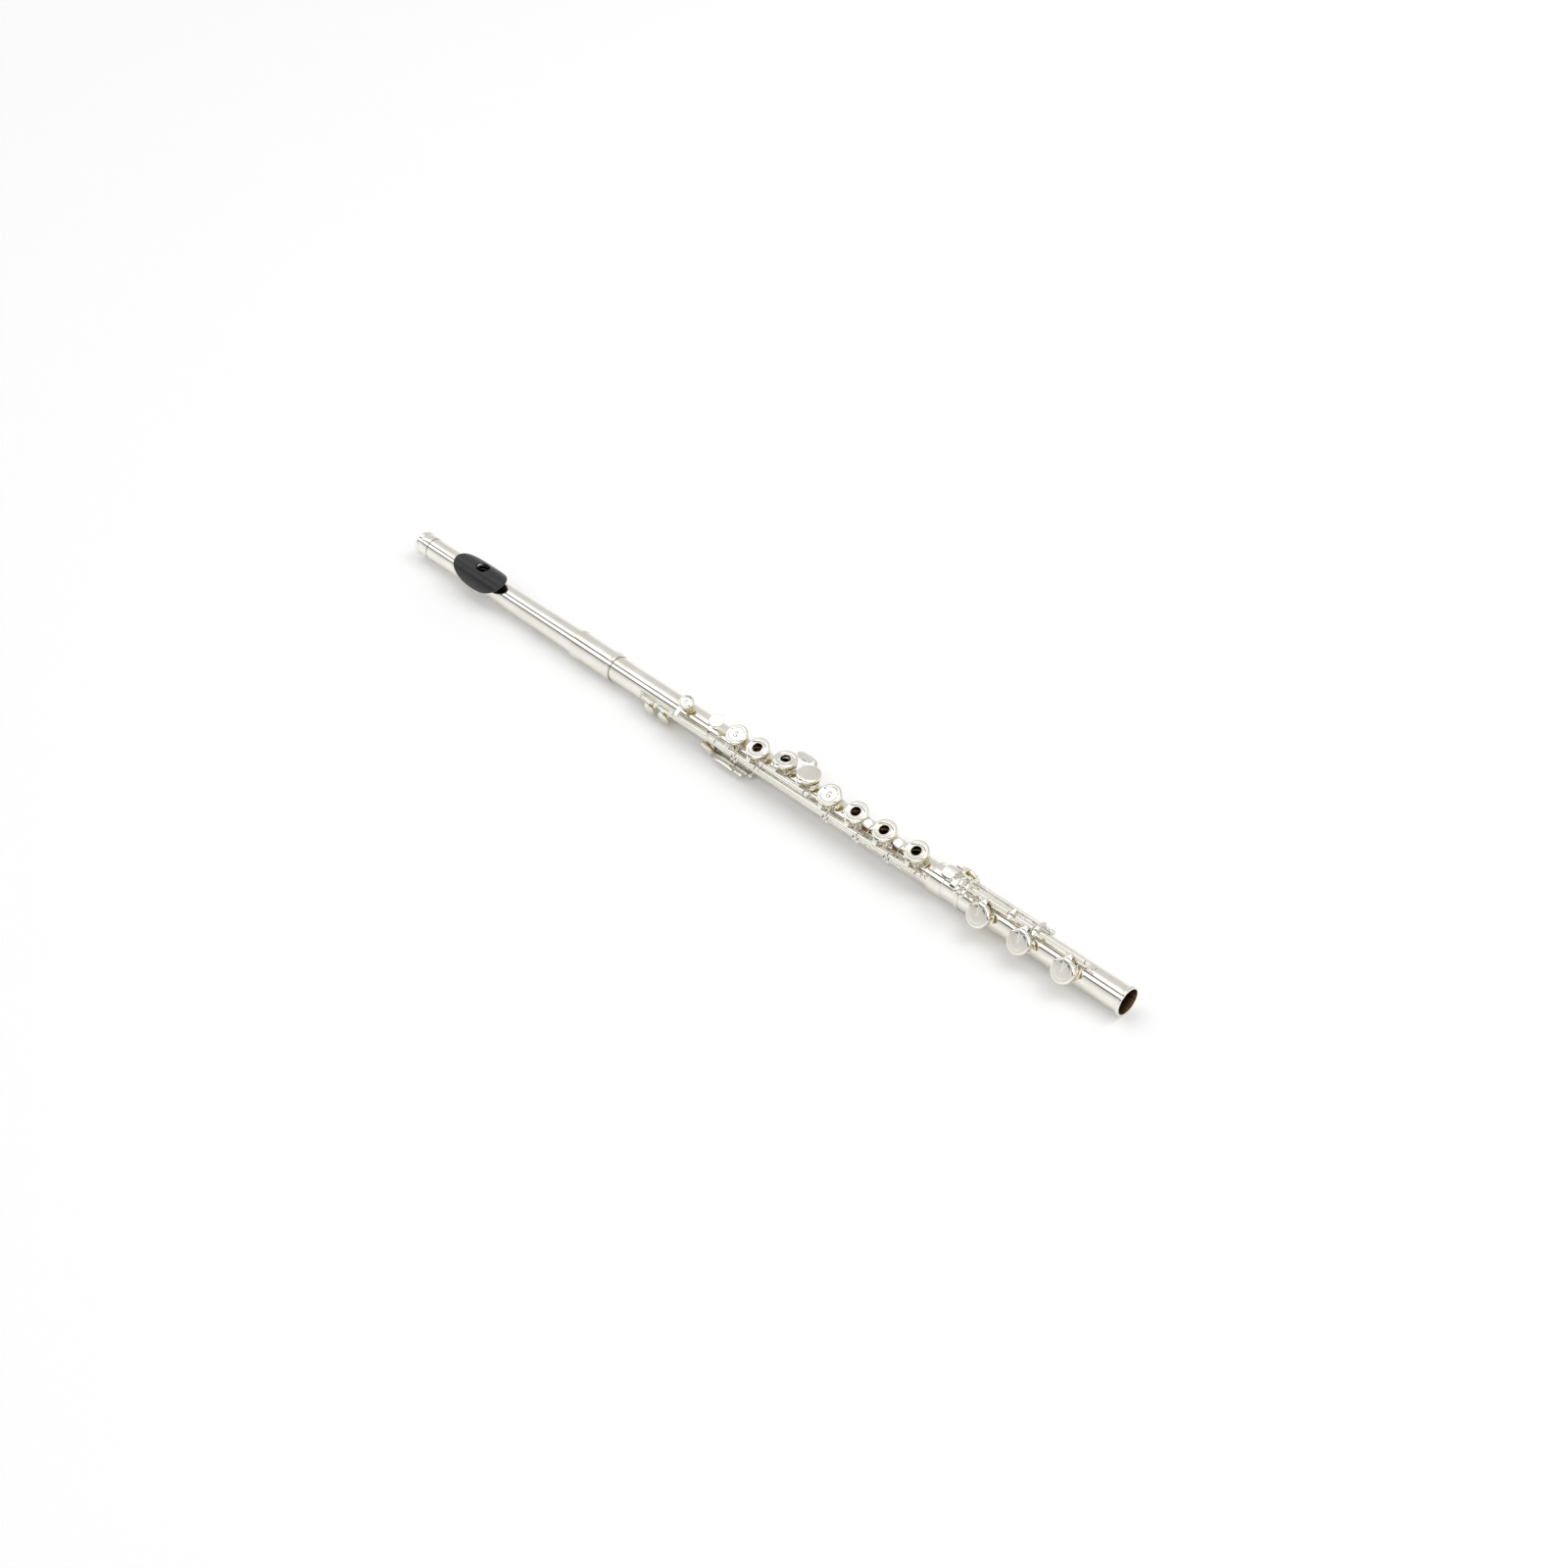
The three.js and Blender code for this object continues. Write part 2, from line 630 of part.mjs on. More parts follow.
function footKeys() {
  const { footKeys: rod, cLever, bLever } = rods;
  const turn = lift.foot;
  const lug = (x) => armOf([[-48, 16], [-38, 16.1], [-29, 15.9]], 1.1, x - 1.5, x + 1.5);
  const footKey = (name, x, pad, tube, extras) =>
    key({ name, rod, turn, tube, cups: [cupOf(x, pad, large)], extras });
  const lever = (name, line, tube, x, fingerX, rollerName) => {
    const group = key({ name, rod: line, tube, extras: [...rollerArm(line, x), leverFinger(line, fingerX)] });
    const half = roller.length / 2;
    const body = rollerBody(roller.radius, -half, half, x).subtract(rollerBody(0.9, -9, 9, x));
    const part = meshOf(rollerName, body, silver);
    const axis = polar(line.angle, line.radius);
    part.geometry.translate(0, -axis[0], -axis[1]);
    group.add(part);
    return group;
  };
  const dSharpArm = armOf([[-77.5, 14], [-73, 18], [-66, 19.8], [-60, 19.9]], 1.2, 494.8, 498);
  return [
    key({
      name: "d_sharp_foot_key", rod: bLever, tube: [495.2, 503],
      cups: [cupOf(footHole.dSharp, "d_sharp_foot_pad", dSharpSize, false, dSharpLine)],
      extras: [dSharpArm, band([-64, -33], [19.3, 20.5], [490, 499.2], 5)],
    }),
    footKey("c_sharp_foot_key", footHole.cSharp, "c_sharp_foot_pad", [495.4, 546.4], [
      armOf([[-48, 16], [-43, 17.6], [-38, 18]], 1.4, 500.2, 504.6),
      band([-41, -20], [17.2, 18.4], [500.2, 504.6], 4),
    ]),
    footKey("c_foot_key", footHole.c, "c_foot_pad", [547, 567.6], [lug(fingerAt.c)]),
    footKey("b_foot_key", footHole.b, "b_foot_pad", [568.2, 611.4], [lug(fingerAt.b)]),
    lever("c_lever", cLever, [503.9, 552.6], rollerAt.c, fingerAt.c, "c_roller"),
    lever("b_lever", bLever, [507.7, 575], rollerAt.b, fingerAt.b, "b_roller"),
  ];
}

function footJoint() {
  const { footKeys: rod, cLever, bLever } = rods;
  return jointGroup(footTurn, [
    meshOf("foot_tube", footTube(), silver),
    rib("foot_rib", [-80, -54.5], [492.6, 617], [
      [493.2, rod], [613.6, rod],
      [501.7, cLever], [554.8, cLever],
      [493, bLever], [505.3, bLever], [577.2, bLever],
    ]),
    steelRod("foot_rod", rod, 491.8, 615),
    steelRod("c_lever_rod", cLever, 500.3, 556.2),
    steelRod("b_lever_rod", bLever, 491, 578.6),
    ...footKeys(),
  ]);
}

// ---- Assembly -----------------------------------------------------------------------------
const flute = new THREE.Group();
flute.rotation.x = rad(bodyRoll);
flute.add(headJoint(), bodyJoint(), footJoint());

// The part's origin is on the table, under the middle of the flute's bounding box.
const part = new THREE.Group();
part.add(flute);
part.updateMatrixWorld(true);
const bounds = new THREE.Box3().setFromObject(part, true);
const middlePoint = bounds.getCenter(new THREE.Vector3());
flute.position.set(-middlePoint.x, -middlePoint.y, -bounds.min.z);

export default part;
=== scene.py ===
# Concert flute with a B foot: silver tube and keys, black lip plate, yellow pads.
import bpy, bmesh, math
from mathutils import Matrix, Vector


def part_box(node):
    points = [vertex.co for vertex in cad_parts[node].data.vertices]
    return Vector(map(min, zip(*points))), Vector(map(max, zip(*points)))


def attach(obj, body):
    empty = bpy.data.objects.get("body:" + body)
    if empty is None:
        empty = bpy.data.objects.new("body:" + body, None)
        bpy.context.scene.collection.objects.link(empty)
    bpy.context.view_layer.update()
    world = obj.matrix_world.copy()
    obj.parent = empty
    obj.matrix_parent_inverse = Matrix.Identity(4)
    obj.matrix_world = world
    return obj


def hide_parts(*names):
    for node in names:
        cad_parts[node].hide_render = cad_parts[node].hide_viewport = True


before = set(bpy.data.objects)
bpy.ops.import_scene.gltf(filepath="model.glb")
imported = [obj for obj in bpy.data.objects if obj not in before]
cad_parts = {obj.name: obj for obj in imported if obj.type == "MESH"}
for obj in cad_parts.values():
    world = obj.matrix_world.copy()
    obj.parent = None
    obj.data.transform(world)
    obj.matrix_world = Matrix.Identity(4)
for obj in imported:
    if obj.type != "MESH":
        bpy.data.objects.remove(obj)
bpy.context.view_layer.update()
print("frame loaded:", len(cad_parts), "nodes")

# The tube's axis and the blowing hole's station, read off the crown. Shapes are in mm, x from the hole.
crownLow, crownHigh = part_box("crown")
flutePlace = {
    "crownEnd": -76.0,
    "axisY": (crownLow.y + crownHigh.y) / 2,
    "axisZ": (crownLow.z + crownHigh.z) / 2,
    "bodyRoll": 10.0,  # degrees, the whole flute is rolled towards the player
    "footRoll": 63.7,  # the foot joint's key line, from straight up
}
holeX = crownLow.x - flutePlace["crownEnd"] / 1000
toRow = Matrix.Translation((holeX, flutePlace["axisY"], flutePlace["axisZ"])) @ Matrix.Scale(0.001, 4)
bodyRoll, footRoll = flutePlace["bodyRoll"], flutePlace["footRoll"]
rad = math.radians


# ---- materials
def srgb(code):
    parts = [int(code[i:i + 2], 16) / 255 for i in (1, 3, 5)]
    return [p / 12.92 if p <= 0.04045 else ((p + 0.055) / 1.055) ** 2.4 for p in parts] + [1.0]


def addNode(tree, kind, settings=(), links=()):
    node = tree.nodes.new(kind)
    for key, value in dict(settings).items():
        if isinstance(key, str) and hasattr(node, key):
            setattr(node, key, value)
        else:
            node.inputs[key].default_value = value
    for key, source in dict(links).items():
        tree.links.new(source, node.inputs[key])
    return node


def newMaterial(name, color, roughness, metallic=0.0, extra=()):
    material = bpy.data.materials.new(name)
    material.use_nodes = True
    tree = material.node_tree
    shader = tree.nodes["Principled BSDF"]
    shader.inputs["Base Color"].default_value = srgb(color)
    shader.inputs["Roughness"].default_value = roughness
    shader.inputs["Metallic"].default_value = metallic
    for key, value in dict(extra).items():
        shader.inputs[key].default_value = value
    coords = addNode(tree, "ShaderNodeTexCoord")
    return material, tree, shader, coords.outputs["Object"]


def rampOf(tree, source, stops):
    node = addNode(tree, "ShaderNodeValToRGB", links={"Fac": source})
    ramp = node.color_ramp
    while len(ramp.elements) < len(stops):
        ramp.elements.new(0.5)
    for element, (at, color) in zip(ramp.elements, stops):
        element.position = at
        element.color = color if isinstance(color, (list, tuple)) else srgb(color)
    return node.outputs["Color"]


def grey(value):
    return (value, value, value, 1.0)


silverFinish = {"color": "#f5f3ec", "dull": "#e9e5d9", "low": 0.05, "high": 0.17}


# Sterling silver, buffed with rouge: sharp reflections, broken only by faint wiping marks and a warm bloom.
def makeSilver(name, along):
    material, tree, shader, obj = newMaterial(name, silverFinish["color"], 0.09, 1.0)
    stretch = addNode(
        tree, "ShaderNodeMapping", {"Scale": (60, 900, 900) if along else (300, 300, 300)},
        {"Vector": obj},
    )
    wipes = addNode(
        tree, "ShaderNodeTexNoise", {"Scale": 1.0, "Detail": 4.0, "Roughness": 0.6},
        {"Vector": stretch.outputs[0]},
    )
    bloom = addNode(tree, "ShaderNodeTexNoise", {"Scale": 45.0, "Detail": 3.0}, {"Vector": obj})
    tone = rampOf(
        tree, bloom.outputs["Fac"], [(0.35, silverFinish["color"]), (0.75, silverFinish["dull"])],
    )
    gloss = addNode(
        tree, "ShaderNodeMapRange",
        {"From Min": 0.3, "From Max": 0.75, "To Min": silverFinish["low"], "To Max": silverFinish["high"]},
        {"Value": wipes.outputs["Fac"]},
    )
    tree.links.new(tone, shader.inputs["Base Color"])
    tree.links.new(gloss.outputs[0], shader.inputs["Roughness"])
    return material


# Inside of the tube: drawn silver, never buffed, coloured dark brown as painted shade for the dim inside of
# the bore, with random lengthwise marks.
def makeBore():
    material, tree, shader, obj = newMaterial("silverBorePaintedShade", "#86674a", 0.42, 1.0)
    stretch = addNode(tree, "ShaderNodeMapping", {"Scale": (20, 500, 500)}, {"Vector": obj})
    marks = addNode(
        tree, "ShaderNodeTexNoise", {"Scale": 1.0, "Detail": 3.0}, {"Vector": stretch.outputs[0]},
    )
    # dark brown ramp: painted shade of the bore's inside, varied by the random lengthwise marks
    tone = rampOf(tree, marks.outputs["Fac"], [(0.3, "#5e442c"), (0.7, "#93745a")])
    tree.links.new(tone, shader.inputs["Base Color"])
    return material


# Black lacquered lip plate: satin coat over brass, soft wide highlight with fine orange peel.
def makeLipBlack():
    material, tree, shader, obj = newMaterial(
        "lacquerSatinBlack", "#0d0d0e", 0.38, 0.0, {"Coat Weight": 0.1, "Coat Roughness": 0.3},
    )
    peel = addNode(tree, "ShaderNodeTexNoise", {"Scale": 1800.0, "Detail": 2.0}, {"Vector": obj})
    rub = addNode(tree, "ShaderNodeTexNoise", {"Scale": 90.0, "Detail": 4.0}, {"Vector": obj})
    gloss = addNode(
        tree, "ShaderNodeMapRange", {"From Min": 0.3, "From Max": 0.7, "To Min": 0.27, "To Max": 0.42},
        {"Value": rub.outputs["Fac"]},
    )
    bump = addNode(
        tree, "ShaderNodeBump", {"Strength": 0.12, "Distance": 0.0001}, {"Height": peel.outputs["Fac"]},
    )
    tree.links.new(gloss.outputs[0], shader.inputs["Roughness"])
    tree.links.new(bump.outputs[0], shader.inputs["Normal"])
    return material


# Goldbeater's skin over felt: thin, yellow, slightly waxy, with veins about 2 mm apart.
def makeSkin():
    material, tree, shader, obj = newMaterial(
        "goldbeaterSkin", "#e8ca78", 0.5, 0.0, {"Subsurface Weight": 0.1, "Subsurface Scale": 0.001},
    )
    veins = addNode(
        tree, "ShaderNodeTexNoise", {"Scale": 500.0, "Detail": 5.0, "Distortion": 0.6}, {"Vector": obj},
    )
    tone = rampOf(tree, veins.outputs["Fac"], [(0.3, "#cfae55"), (0.55, "#e8cc7a"), (0.8, "#f4e2a8")])
    bump = addNode(
        tree, "ShaderNodeBump", {"Strength": 0.25, "Distance": 0.0001}, {"Height": veins.outputs["Fac"]},
    )
    tree.links.new(tone, shader.inputs["Base Color"])
    tree.links.new(bump.outputs[0], shader.inputs["Normal"])
    return material


# Natural cork, sanded: red-brown grains of about half a millimetre with dark pits.
def makeCork():
    material, tree, shader, obj = newMaterial("naturalCork", "#8f5a3c", 0.85)
    grains = addNode(tree, "ShaderNodeTexVoronoi", {"Scale": 1600.0}, {"Vector": obj})
    tone = rampOf(
        tree, grains.outputs["Distance"], [(0.1, "#a8714f"), (0.5, "#8a5236"), (0.9, "#4f2c1c")],
    )
    bump = addNode(
        tree, "ShaderNodeBump", {"Strength": 0.4, "Distance": 0.0002},
        {"Height": grains.outputs["Distance"]},
    )
    tree.links.new(tone, shader.inputs["Base Color"])
    tree.links.new(bump.outputs[0], shader.inputs["Normal"])
    return material


# Blued needle steel and drawn rod steel: darker than the silver, with fine lengthwise drawing marks.
def makeSteel(name, color):
    material, tree, shader, obj = newMaterial(name, color, 0.25, 1.0)
    stretch = addNode(tree, "ShaderNodeMapping", {"Scale": (40, 2500, 2500)}, {"Vector": obj})
    drawn = addNode(
        tree, "ShaderNodeTexNoise", {"Scale": 1.0, "Detail": 2.0}, {"Vector": stretch.outputs[0]},
    )
    gloss = addNode(
        tree, "ShaderNodeMapRange", {"To Min": 0.18, "To Max": 0.38}, {"Value": drawn.outputs["Fac"]},
    )
    tree.links.new(gloss.outputs[0], shader.inputs["Roughness"])
    return material


tubeSilver = makeSilver("silverBuffedTube", True)
keySilver = makeSilver("silverBuffedKeys", False)
boreSilver = makeBore()
lipBlack = makeLipBlack()
padSkin = makeSkin()
cork = makeCork()
rodSteel = makeSteel("steelDrawnRod", "#a5a6a8")
springSteel = makeSteel("steelBluedNeedle", "#4a4f63")
print("materials made")


# ---- shape helpers, in mm in the flute's own frame: +Z is up from the tube, angles grow towards the player
alongTube = Matrix.Rotation(rad(90), 4, "Y")  # turns a spun shape's +Z into +X
rolled = {roll: Matrix.Rotation(rad(roll), 4, "X") for roll in (bodyRoll, footRoll)}
tubeSides = 96


def onTube(x, angle, height=0.0):
    turn = Matrix.Rotation(rad(angle), 4, "X")
    return Matrix.Translation((x, 0, 0)) @ turn @ Matrix.Translation((0, 0, height))


def spot(x, angle, radius):
    return Vector((x, -radius * math.sin(rad(angle)), radius * math.cos(rad(angle))))


def alongRod(angle, radius):
    return Matrix.Translation(spot(0, angle, radius)) @ alongTube


def soften(points, radius, closed=False):
    soft, count = [], len(points)
    for i, point in enumerate(points):
        here = Vector(point)
        if not closed and i in (0, count - 1):
            soft.append(tuple(here))
            continue
        sides = [Vector(points[(i + step) % count]) - here for step in (-1, 1)]
        first, last = [here + side.normalized() * min(radius, side.length * 0.45) for side in sides]
        soft += [tuple(first), tuple(first * 0.25 + last * 0.25 + here * 0.5), tuple(last)]
    return soft


def spin(bm, profile, place, steps, closed=False):
    verts = [bm.verts.new((r, 0, h)) for r, h in profile]
    edges = [bm.edges.new(pair) for pair in zip(verts, verts[1:])]
    if closed:
        edges.append(bm.edges.new((verts[-1], verts[0])))
    old = set(bm.verts) - set(verts)
    bmesh.ops.spin(
        bm, geom=verts + edges, cent=(0, 0, 0), axis=(0, 0, 1), angle=math.tau, steps=steps,
        use_merge=True,
    )
    fresh = [v for v in bm.verts if v not in old]
    bmesh.ops.transform(bm, matrix=place, verts=fresh)


# Extra points along a profile's long stretches, so that reflections stay clean beside the holes cut later.
def divided(profile, step=5.0):
    fine = []
    for (r0, h0), (r1, h1) in zip(profile, profile[1:] + profile[:1]):
        count = max(1, int(abs(h1 - h0) / step))
        fine += [(r0 + (r1 - r0) * i / count, h0 + (h1 - h0) * i / count) for i in range(count)]
    return fine


def bar(bm, x0, x1, angle, radius, size, bore=0.0, steps=20, edge=0.25):
    profile = [(bore, x0), (size, x0), (size, x1), (bore, x1)]
    profile = soften(profile, edge, closed=bore > 0)
    spin(bm, profile, alongRod(angle, radius), steps, closed=bore > 0)


# A tapered arm: round loops set along a path, bridged and capped.
def arm(bm, path, widths, thicks, sides=14):
    points = [Vector(p) for p in path]
    loops = []
    for i, point in enumerate(points):
        ahead = points[min(i + 1, len(points) - 1)] - points[max(i - 1, 0)]
        ahead.normalize()
        side = Vector((1, 0, 0)) if abs(ahead.x) < 0.8 else Vector((0, 1, 0))
        side = (side - ahead * side.dot(ahead)).normalized()
        up = ahead.cross(side)
        place = Matrix((side, up, ahead)).transposed().to_4x4()
        place.translation = point
        sized = place @ Matrix.Diagonal((widths[i] / 2, thicks[i] / 2, 1, 1))
        made = bmesh.ops.create_circle(
            bm, cap_ends=False, radius=1.0, segments=sides, matrix=sized,
        )["verts"]
        loops.append(list({e for v in made for e in v.link_edges}))
    for a, b in zip(loops, loops[1:]):
        bmesh.ops.bridge_loops(bm, edges=a + b)
    for end in (loops[0], loops[-1]):
        bmesh.ops.contextual_create(bm, geom=end)


# A plate bent round the tube: an oval of the given squareness, dished or crowned, or leaning to one side.
def plate(bm, x, angle, halfLength, halfArc, radius, thick, square, crown, cells, tilt=0.0):
    made = bmesh.ops.create_grid(bm, x_segments=cells, y_segments=cells, size=1.0)["verts"]
    for v in made:
        u, w = v.co.x, v.co.y
        a = u * math.sqrt(1 - w * w * square)
        b = w * math.sqrt(1 - u * u * square)
        v.co = spot(
            x + a * halfLength, angle + b * halfArc,
            radius + tilt * b + crown * (1 - min(a * a + b * b, 1)),
        )
    faces = list({f for v in made for f in v.link_faces})
    bmesh.ops.recalc_face_normals(bm, faces=faces)
    outward = spot(0, angle, 1.0)
    if sum(f.normal.dot(outward) for f in faces) < 0:
        bmesh.ops.reverse_faces(bm, faces=faces)
    bmesh.ops.solidify(bm, geom=faces, thickness=thick)


def ball(bm, center, size, steps):
    bmesh.ops.create_uvsphere(
        bm, u_segments=steps, v_segments=steps // 2, radius=size, matrix=Matrix.Translation(center),
    )


def newPiece(bm, name, body, silvers, replaced=(), place=None, sharp=38, bore=False):
    bmesh.ops.remove_doubles(bm, verts=bm.verts, dist=0.0005)
    bmesh.ops.dissolve_degenerate(bm, edges=bm.edges, dist=0.0002)
    bmesh.ops.recalc_face_normals(bm, faces=bm.faces)
    for face in bm.faces:
        face.smooth = True
        middle = face.calc_center_median()
        # faces that look into the bore take the second material, whose dark brown is painted shade
        if bore and face.normal.dot(Vector((0, middle.y, middle.z)).normalized()) < -0.5:
            face.material_index = 1
    for e in bm.edges:
        e.smooth = not (e.is_manifold and e.calc_face_angle(0) > rad(sharp))
    bmesh.ops.transform(bm, matrix=toRow @ (place or Matrix()), verts=bm.verts)
    mesh = bpy.data.meshes.new(name)
    bm.to_mesh(mesh)
    bm.free()
    for material in silvers:
        mesh.materials.append(material)
    piece = bpy.data.objects.new(name, mesh)
    bpy.context.scene.collection.objects.link(piece)
    if body:
        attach(piece, body)
    if replaced:
        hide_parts(*replaced)
    return piece


def cutWith(piece, cutter):
    modifier = piece.modifiers.new("cut", "BOOLEAN")
    modifier.operation, modifier.solver, modifier.object = "DIFFERENCE", "EXACT", cutter
    bpy.context.view_layer.update()
    done = bpy.data.meshes.new_from_object(piece.evaluated_get(bpy.context.evaluated_depsgraph_get()))
    piece.modifiers.clear()
    old, name = piece.data, piece.data.name
    piece.data = done
    bpy.data.meshes.remove(old)
    done.name = name


def dropPiece(piece):
    mesh = piece.data
    bpy.data.objects.remove(piece)
    bpy.data.meshes.remove(mesh)


# ---- head joint
headShape = {
    "crownBore": 8.5, "middleBore": 8.9, "tenonBore": 9.5, "wall": 0.4,
    "crownSeat": -62.0, "tenonEnd": 142.5, "barrelStart": 113.0, "barrelEnd": 156.0,
    "holeLength": 12.0, "holeWidth": 10.0, "holeSquare": 0.78,
    "lipHalfLength": 28.0, "lipFrom": -50.0, "lipTo": 85.0, "lipHeight": 12.7, "lipThick": 1.0,
    "lipCrown": 0.95,
}


def blowingHole(grow=0.0):
    bm = bmesh.new()
    disc = bmesh.ops.create_circle(bm, cap_ends=True, radius=1.0, segments=56)["verts"]
    power = headShape["holeSquare"]
    for v in disc:
        v.co.x = math.copysign(abs(v.co.x) ** power, v.co.x) * (headShape["holeLength"] / 2 + grow)
        v.co.y = math.copysign(abs(v.co.y) ** power, v.co.y) * (headShape["holeWidth"] / 2 + grow)
        v.co.z = 4.0
    walls = bmesh.ops.extrude_face_region(bm, geom=bm.faces[:])["geom"]
    bmesh.ops.translate(bm, vec=(0, 0, 16), verts=[g for g in walls if isinstance(g, bmesh.types.BMVert)])
    return bm


def makeHead():
    s = headShape
    wall = s["wall"]
    bm = bmesh.new()
    profile = [
        (s["crownBore"], s["crownSeat"]), (s["crownBore"] + wall, s["crownSeat"]),
        (s["crownBore"] + wall, -20), (s["middleBore"] + wall, 50),
        (s["tenonBore"] + wall, s["barrelStart"] - 2), (s["tenonBore"] + wall, s["tenonEnd"]),
        (s["tenonBore"], s["tenonEnd"]), (s["tenonBore"], s["barrelStart"] - 2), (s["middleBore"], 50),
        (s["crownBore"], -20),
    ]
    spin(bm, divided(profile), alongTube, tubeSides, closed=True)
    tube = newPiece(bm, "headTube", "head_joint", [tubeSilver, boreSilver], ["head_tube"], bore=True)
    bm = bmesh.new()
    middle, arc = (s["lipFrom"] + s["lipTo"]) / 2, (s["lipTo"] - s["lipFrom"]) / 2
    thick, crown = s["lipThick"], s["lipCrown"]
    plate(bm, 0, middle, s["lipHalfLength"], arc, s["lipHeight"] + thick, thick, 0.5, crown, 56)
    lip = newPiece(bm, "lipPlate", "head_joint", [lipBlack], ["lip_plate"], sharp=60)
    cutter = newPiece(blowingHole(), "holeCutter", None, [lipBlack])
    cutWith(tube, cutter)
    cutWith(lip, cutter)
    dropPiece(cutter)
    edge = lip.modifiers.new("edge", "BEVEL")
    edge.width, edge.segments, edge.limit_method, edge.angle_limit = 0.0003, 3, "ANGLE", rad(50)


# The chimney under the lip plate: a thick-walled hole, trimmed to the tube below and the plate above.
def makeRiser():
    bm = blowingHole(0.9)
    riser = newPiece(bm, "riserWall", "head_joint", [lipBlack], ["embouchure_riser"])
    inner = newPiece(blowingHole(), "holeCutter", None, [keySilver])
    bm = bmesh.new()
    tubeRadius, trimHeight = 8.93, 22.1
    bmesh.ops.create_cone(
        bm, cap_ends=True, segments=64, radius1=tubeRadius, radius2=tubeRadius, depth=40,
        matrix=alongTube,
    )
    slab = Matrix.Translation((0, 0, trimHeight)) @ Matrix.Diagonal((40, 40, 20, 1))
    bmesh.ops.create_cube(bm, size=1, matrix=slab)
    trim = newPiece(bm, "riserTrim", None, [keySilver])
    cutWith(riser, inner)
    cutWith(riser, trim)
    dropPiece(inner)
    dropPiece(trim)


def makeCrown():
    bm = bmesh.new()
    c, seat = flutePlace["crownEnd"], headShape["crownSeat"]
    profile = [
        (0, c + 0.35), (5.6, c + 0.15), (7.6, c), (8.8, c + 0.15), (9.55, c + 0.8), (9.8, c + 1.5),
        (9.8, c + 3.2), (9.55, c + 3.7), (9.2, c + 3.9), (9.15, c + 4.3), (9.3, c + 4.6),
        (9.3, seat - 2.2), (9.15, seat - 2.0), (9.15, seat - 1.6), (9.4, seat - 1.4), (9.4, seat - 0.5),
        (9.25, seat - 0.3), (1.9, seat - 0.3), (1.9, c + 2), (0, c + 2),
    ]
    spin(bm, profile, alongTube, tubeSides)
    newPiece(bm, "crownCap", "crown_and_stopper", [tubeSilver], ["crown"], sharp=30)


makeHead()
makeRiser()
makeCrown()
print("head joint made")

# ---- tubes, barrel and tone holes
body = {
    "start": 147.0, "end": 489.0, "outer": 9.9, "bore": 9.5, "rim": 12.2, "chimneyWall": 0.55,
    "socket": 478.0, "footStart": 490.0, "footEnd": 645.0, "socketBore": 10.2, "bead": 505.2,
}
offsetG, thumbLine, gSharpLine, dSharpLine = -17.0, 98.0, -79.0, -125.7
cups = {  # key: x, angle, cup radius, pad thickness, kind
    "c_sharp": (235.0, 0, 6.2, 1.6, "ringed"), "b_flat": (288.3, 0, 8.6, 2.0, "ringed"),
    "a": (309.8, 0, 9.1, 2.0, "open"), "upper_g": (333.0, offsetG, 9.1, 2.0, "open"),
    "lower_g": (356.0, offsetG, 9.1, 2.0, "plain"), "g_sharp": (344.5, gSharpLine, 6.0, 1.8, "plain"),
    "f_sharp": (381.0, 0, 9.1, 2.0, "ringed"), "f": (406.6, 0, 9.1, 2.0, "open"),
    "e": (433.4, 0, 9.1, 2.0, "open"), "d": (463.3, 0, 9.1, 2.0, "open"),
    "d_sharp_trill": (204.0, thumbLine, 5.3, 1.3, "plain"),
    "d_trill": (219.0, thumbLine, 5.3, 1.3, "plain"),
    "b_thumb": (266.5, thumbLine, 6.2, 1.4, "plain"),
    "d_sharp_foot": (498.5, dSharpLine, 8.0, 2.0, "plain"),
    "c_sharp_foot": (528.4, 0, 9.1, 2.0, "pointed"),
    "c_foot": (563.9, 0, 9.1, 2.0, "pointed"), "b_foot": (601.5, 0, 9.1, 2.0, "pointed"),
}
onFoot = {"d_sharp_foot", "c_sharp_foot", "c_foot", "b_foot"}


def rimHeight(name):
    small = {"c_sharp": 11.8, "b_thumb": 11.8, "d_trill": 11.6, "d_sharp_trill": 11.6}
    return small.get(name, body["rim"])


def toneHoleRadius(name):
    size = cups[name][2]
    return size - (1.8 if size > 7 else 2.2)


def makeTube(name, profile, names, roll, bodyName, replaced):
    bm = bmesh.new()
    spin(bm, divided(profile), alongTube, tubeSides, closed=True)
    tube = newPiece(bm, name, bodyName, [tubeSilver, boreSilver], replaced, bore=True)
    bm = bmesh.new()
    for key in names:
        x, angle = cups[key][:2]
        place = rolled[roll] @ onTube(x, angle, 12)
        r = toneHoleRadius(key)
        bmesh.ops.create_cone(
            bm, cap_ends=True, segments=48, radius1=r, radius2=r, depth=14, matrix=place,
        )
    cutter = newPiece(bm, "toneCutter", None, [tubeSilver])
    cutWith(tube, cutter)
    dropPiece(cutter)
    bm = bmesh.new()
    for key in names:
        x, angle = cups[key][:2]
        r, top, wall = toneHoleRadius(key), rimHeight(key), body["chimneyWall"]
        base = math.sqrt(body["outer"] ** 2 - r * r) - 0.6
        ring = [
            (r, base), (r + 0.1, top - 0.3), (r + 0.2, top), (r + wall, top),
            (r + wall + 0.15, top - 0.3), (r + wall - 0.05, top - 0.7), (r + wall - 0.05, base),
        ]
        spin(bm, ring, onTube(x, angle), 48, closed=True)
    newPiece(bm, name + "Rims", bodyName, [keySilver], place=rolled[roll])


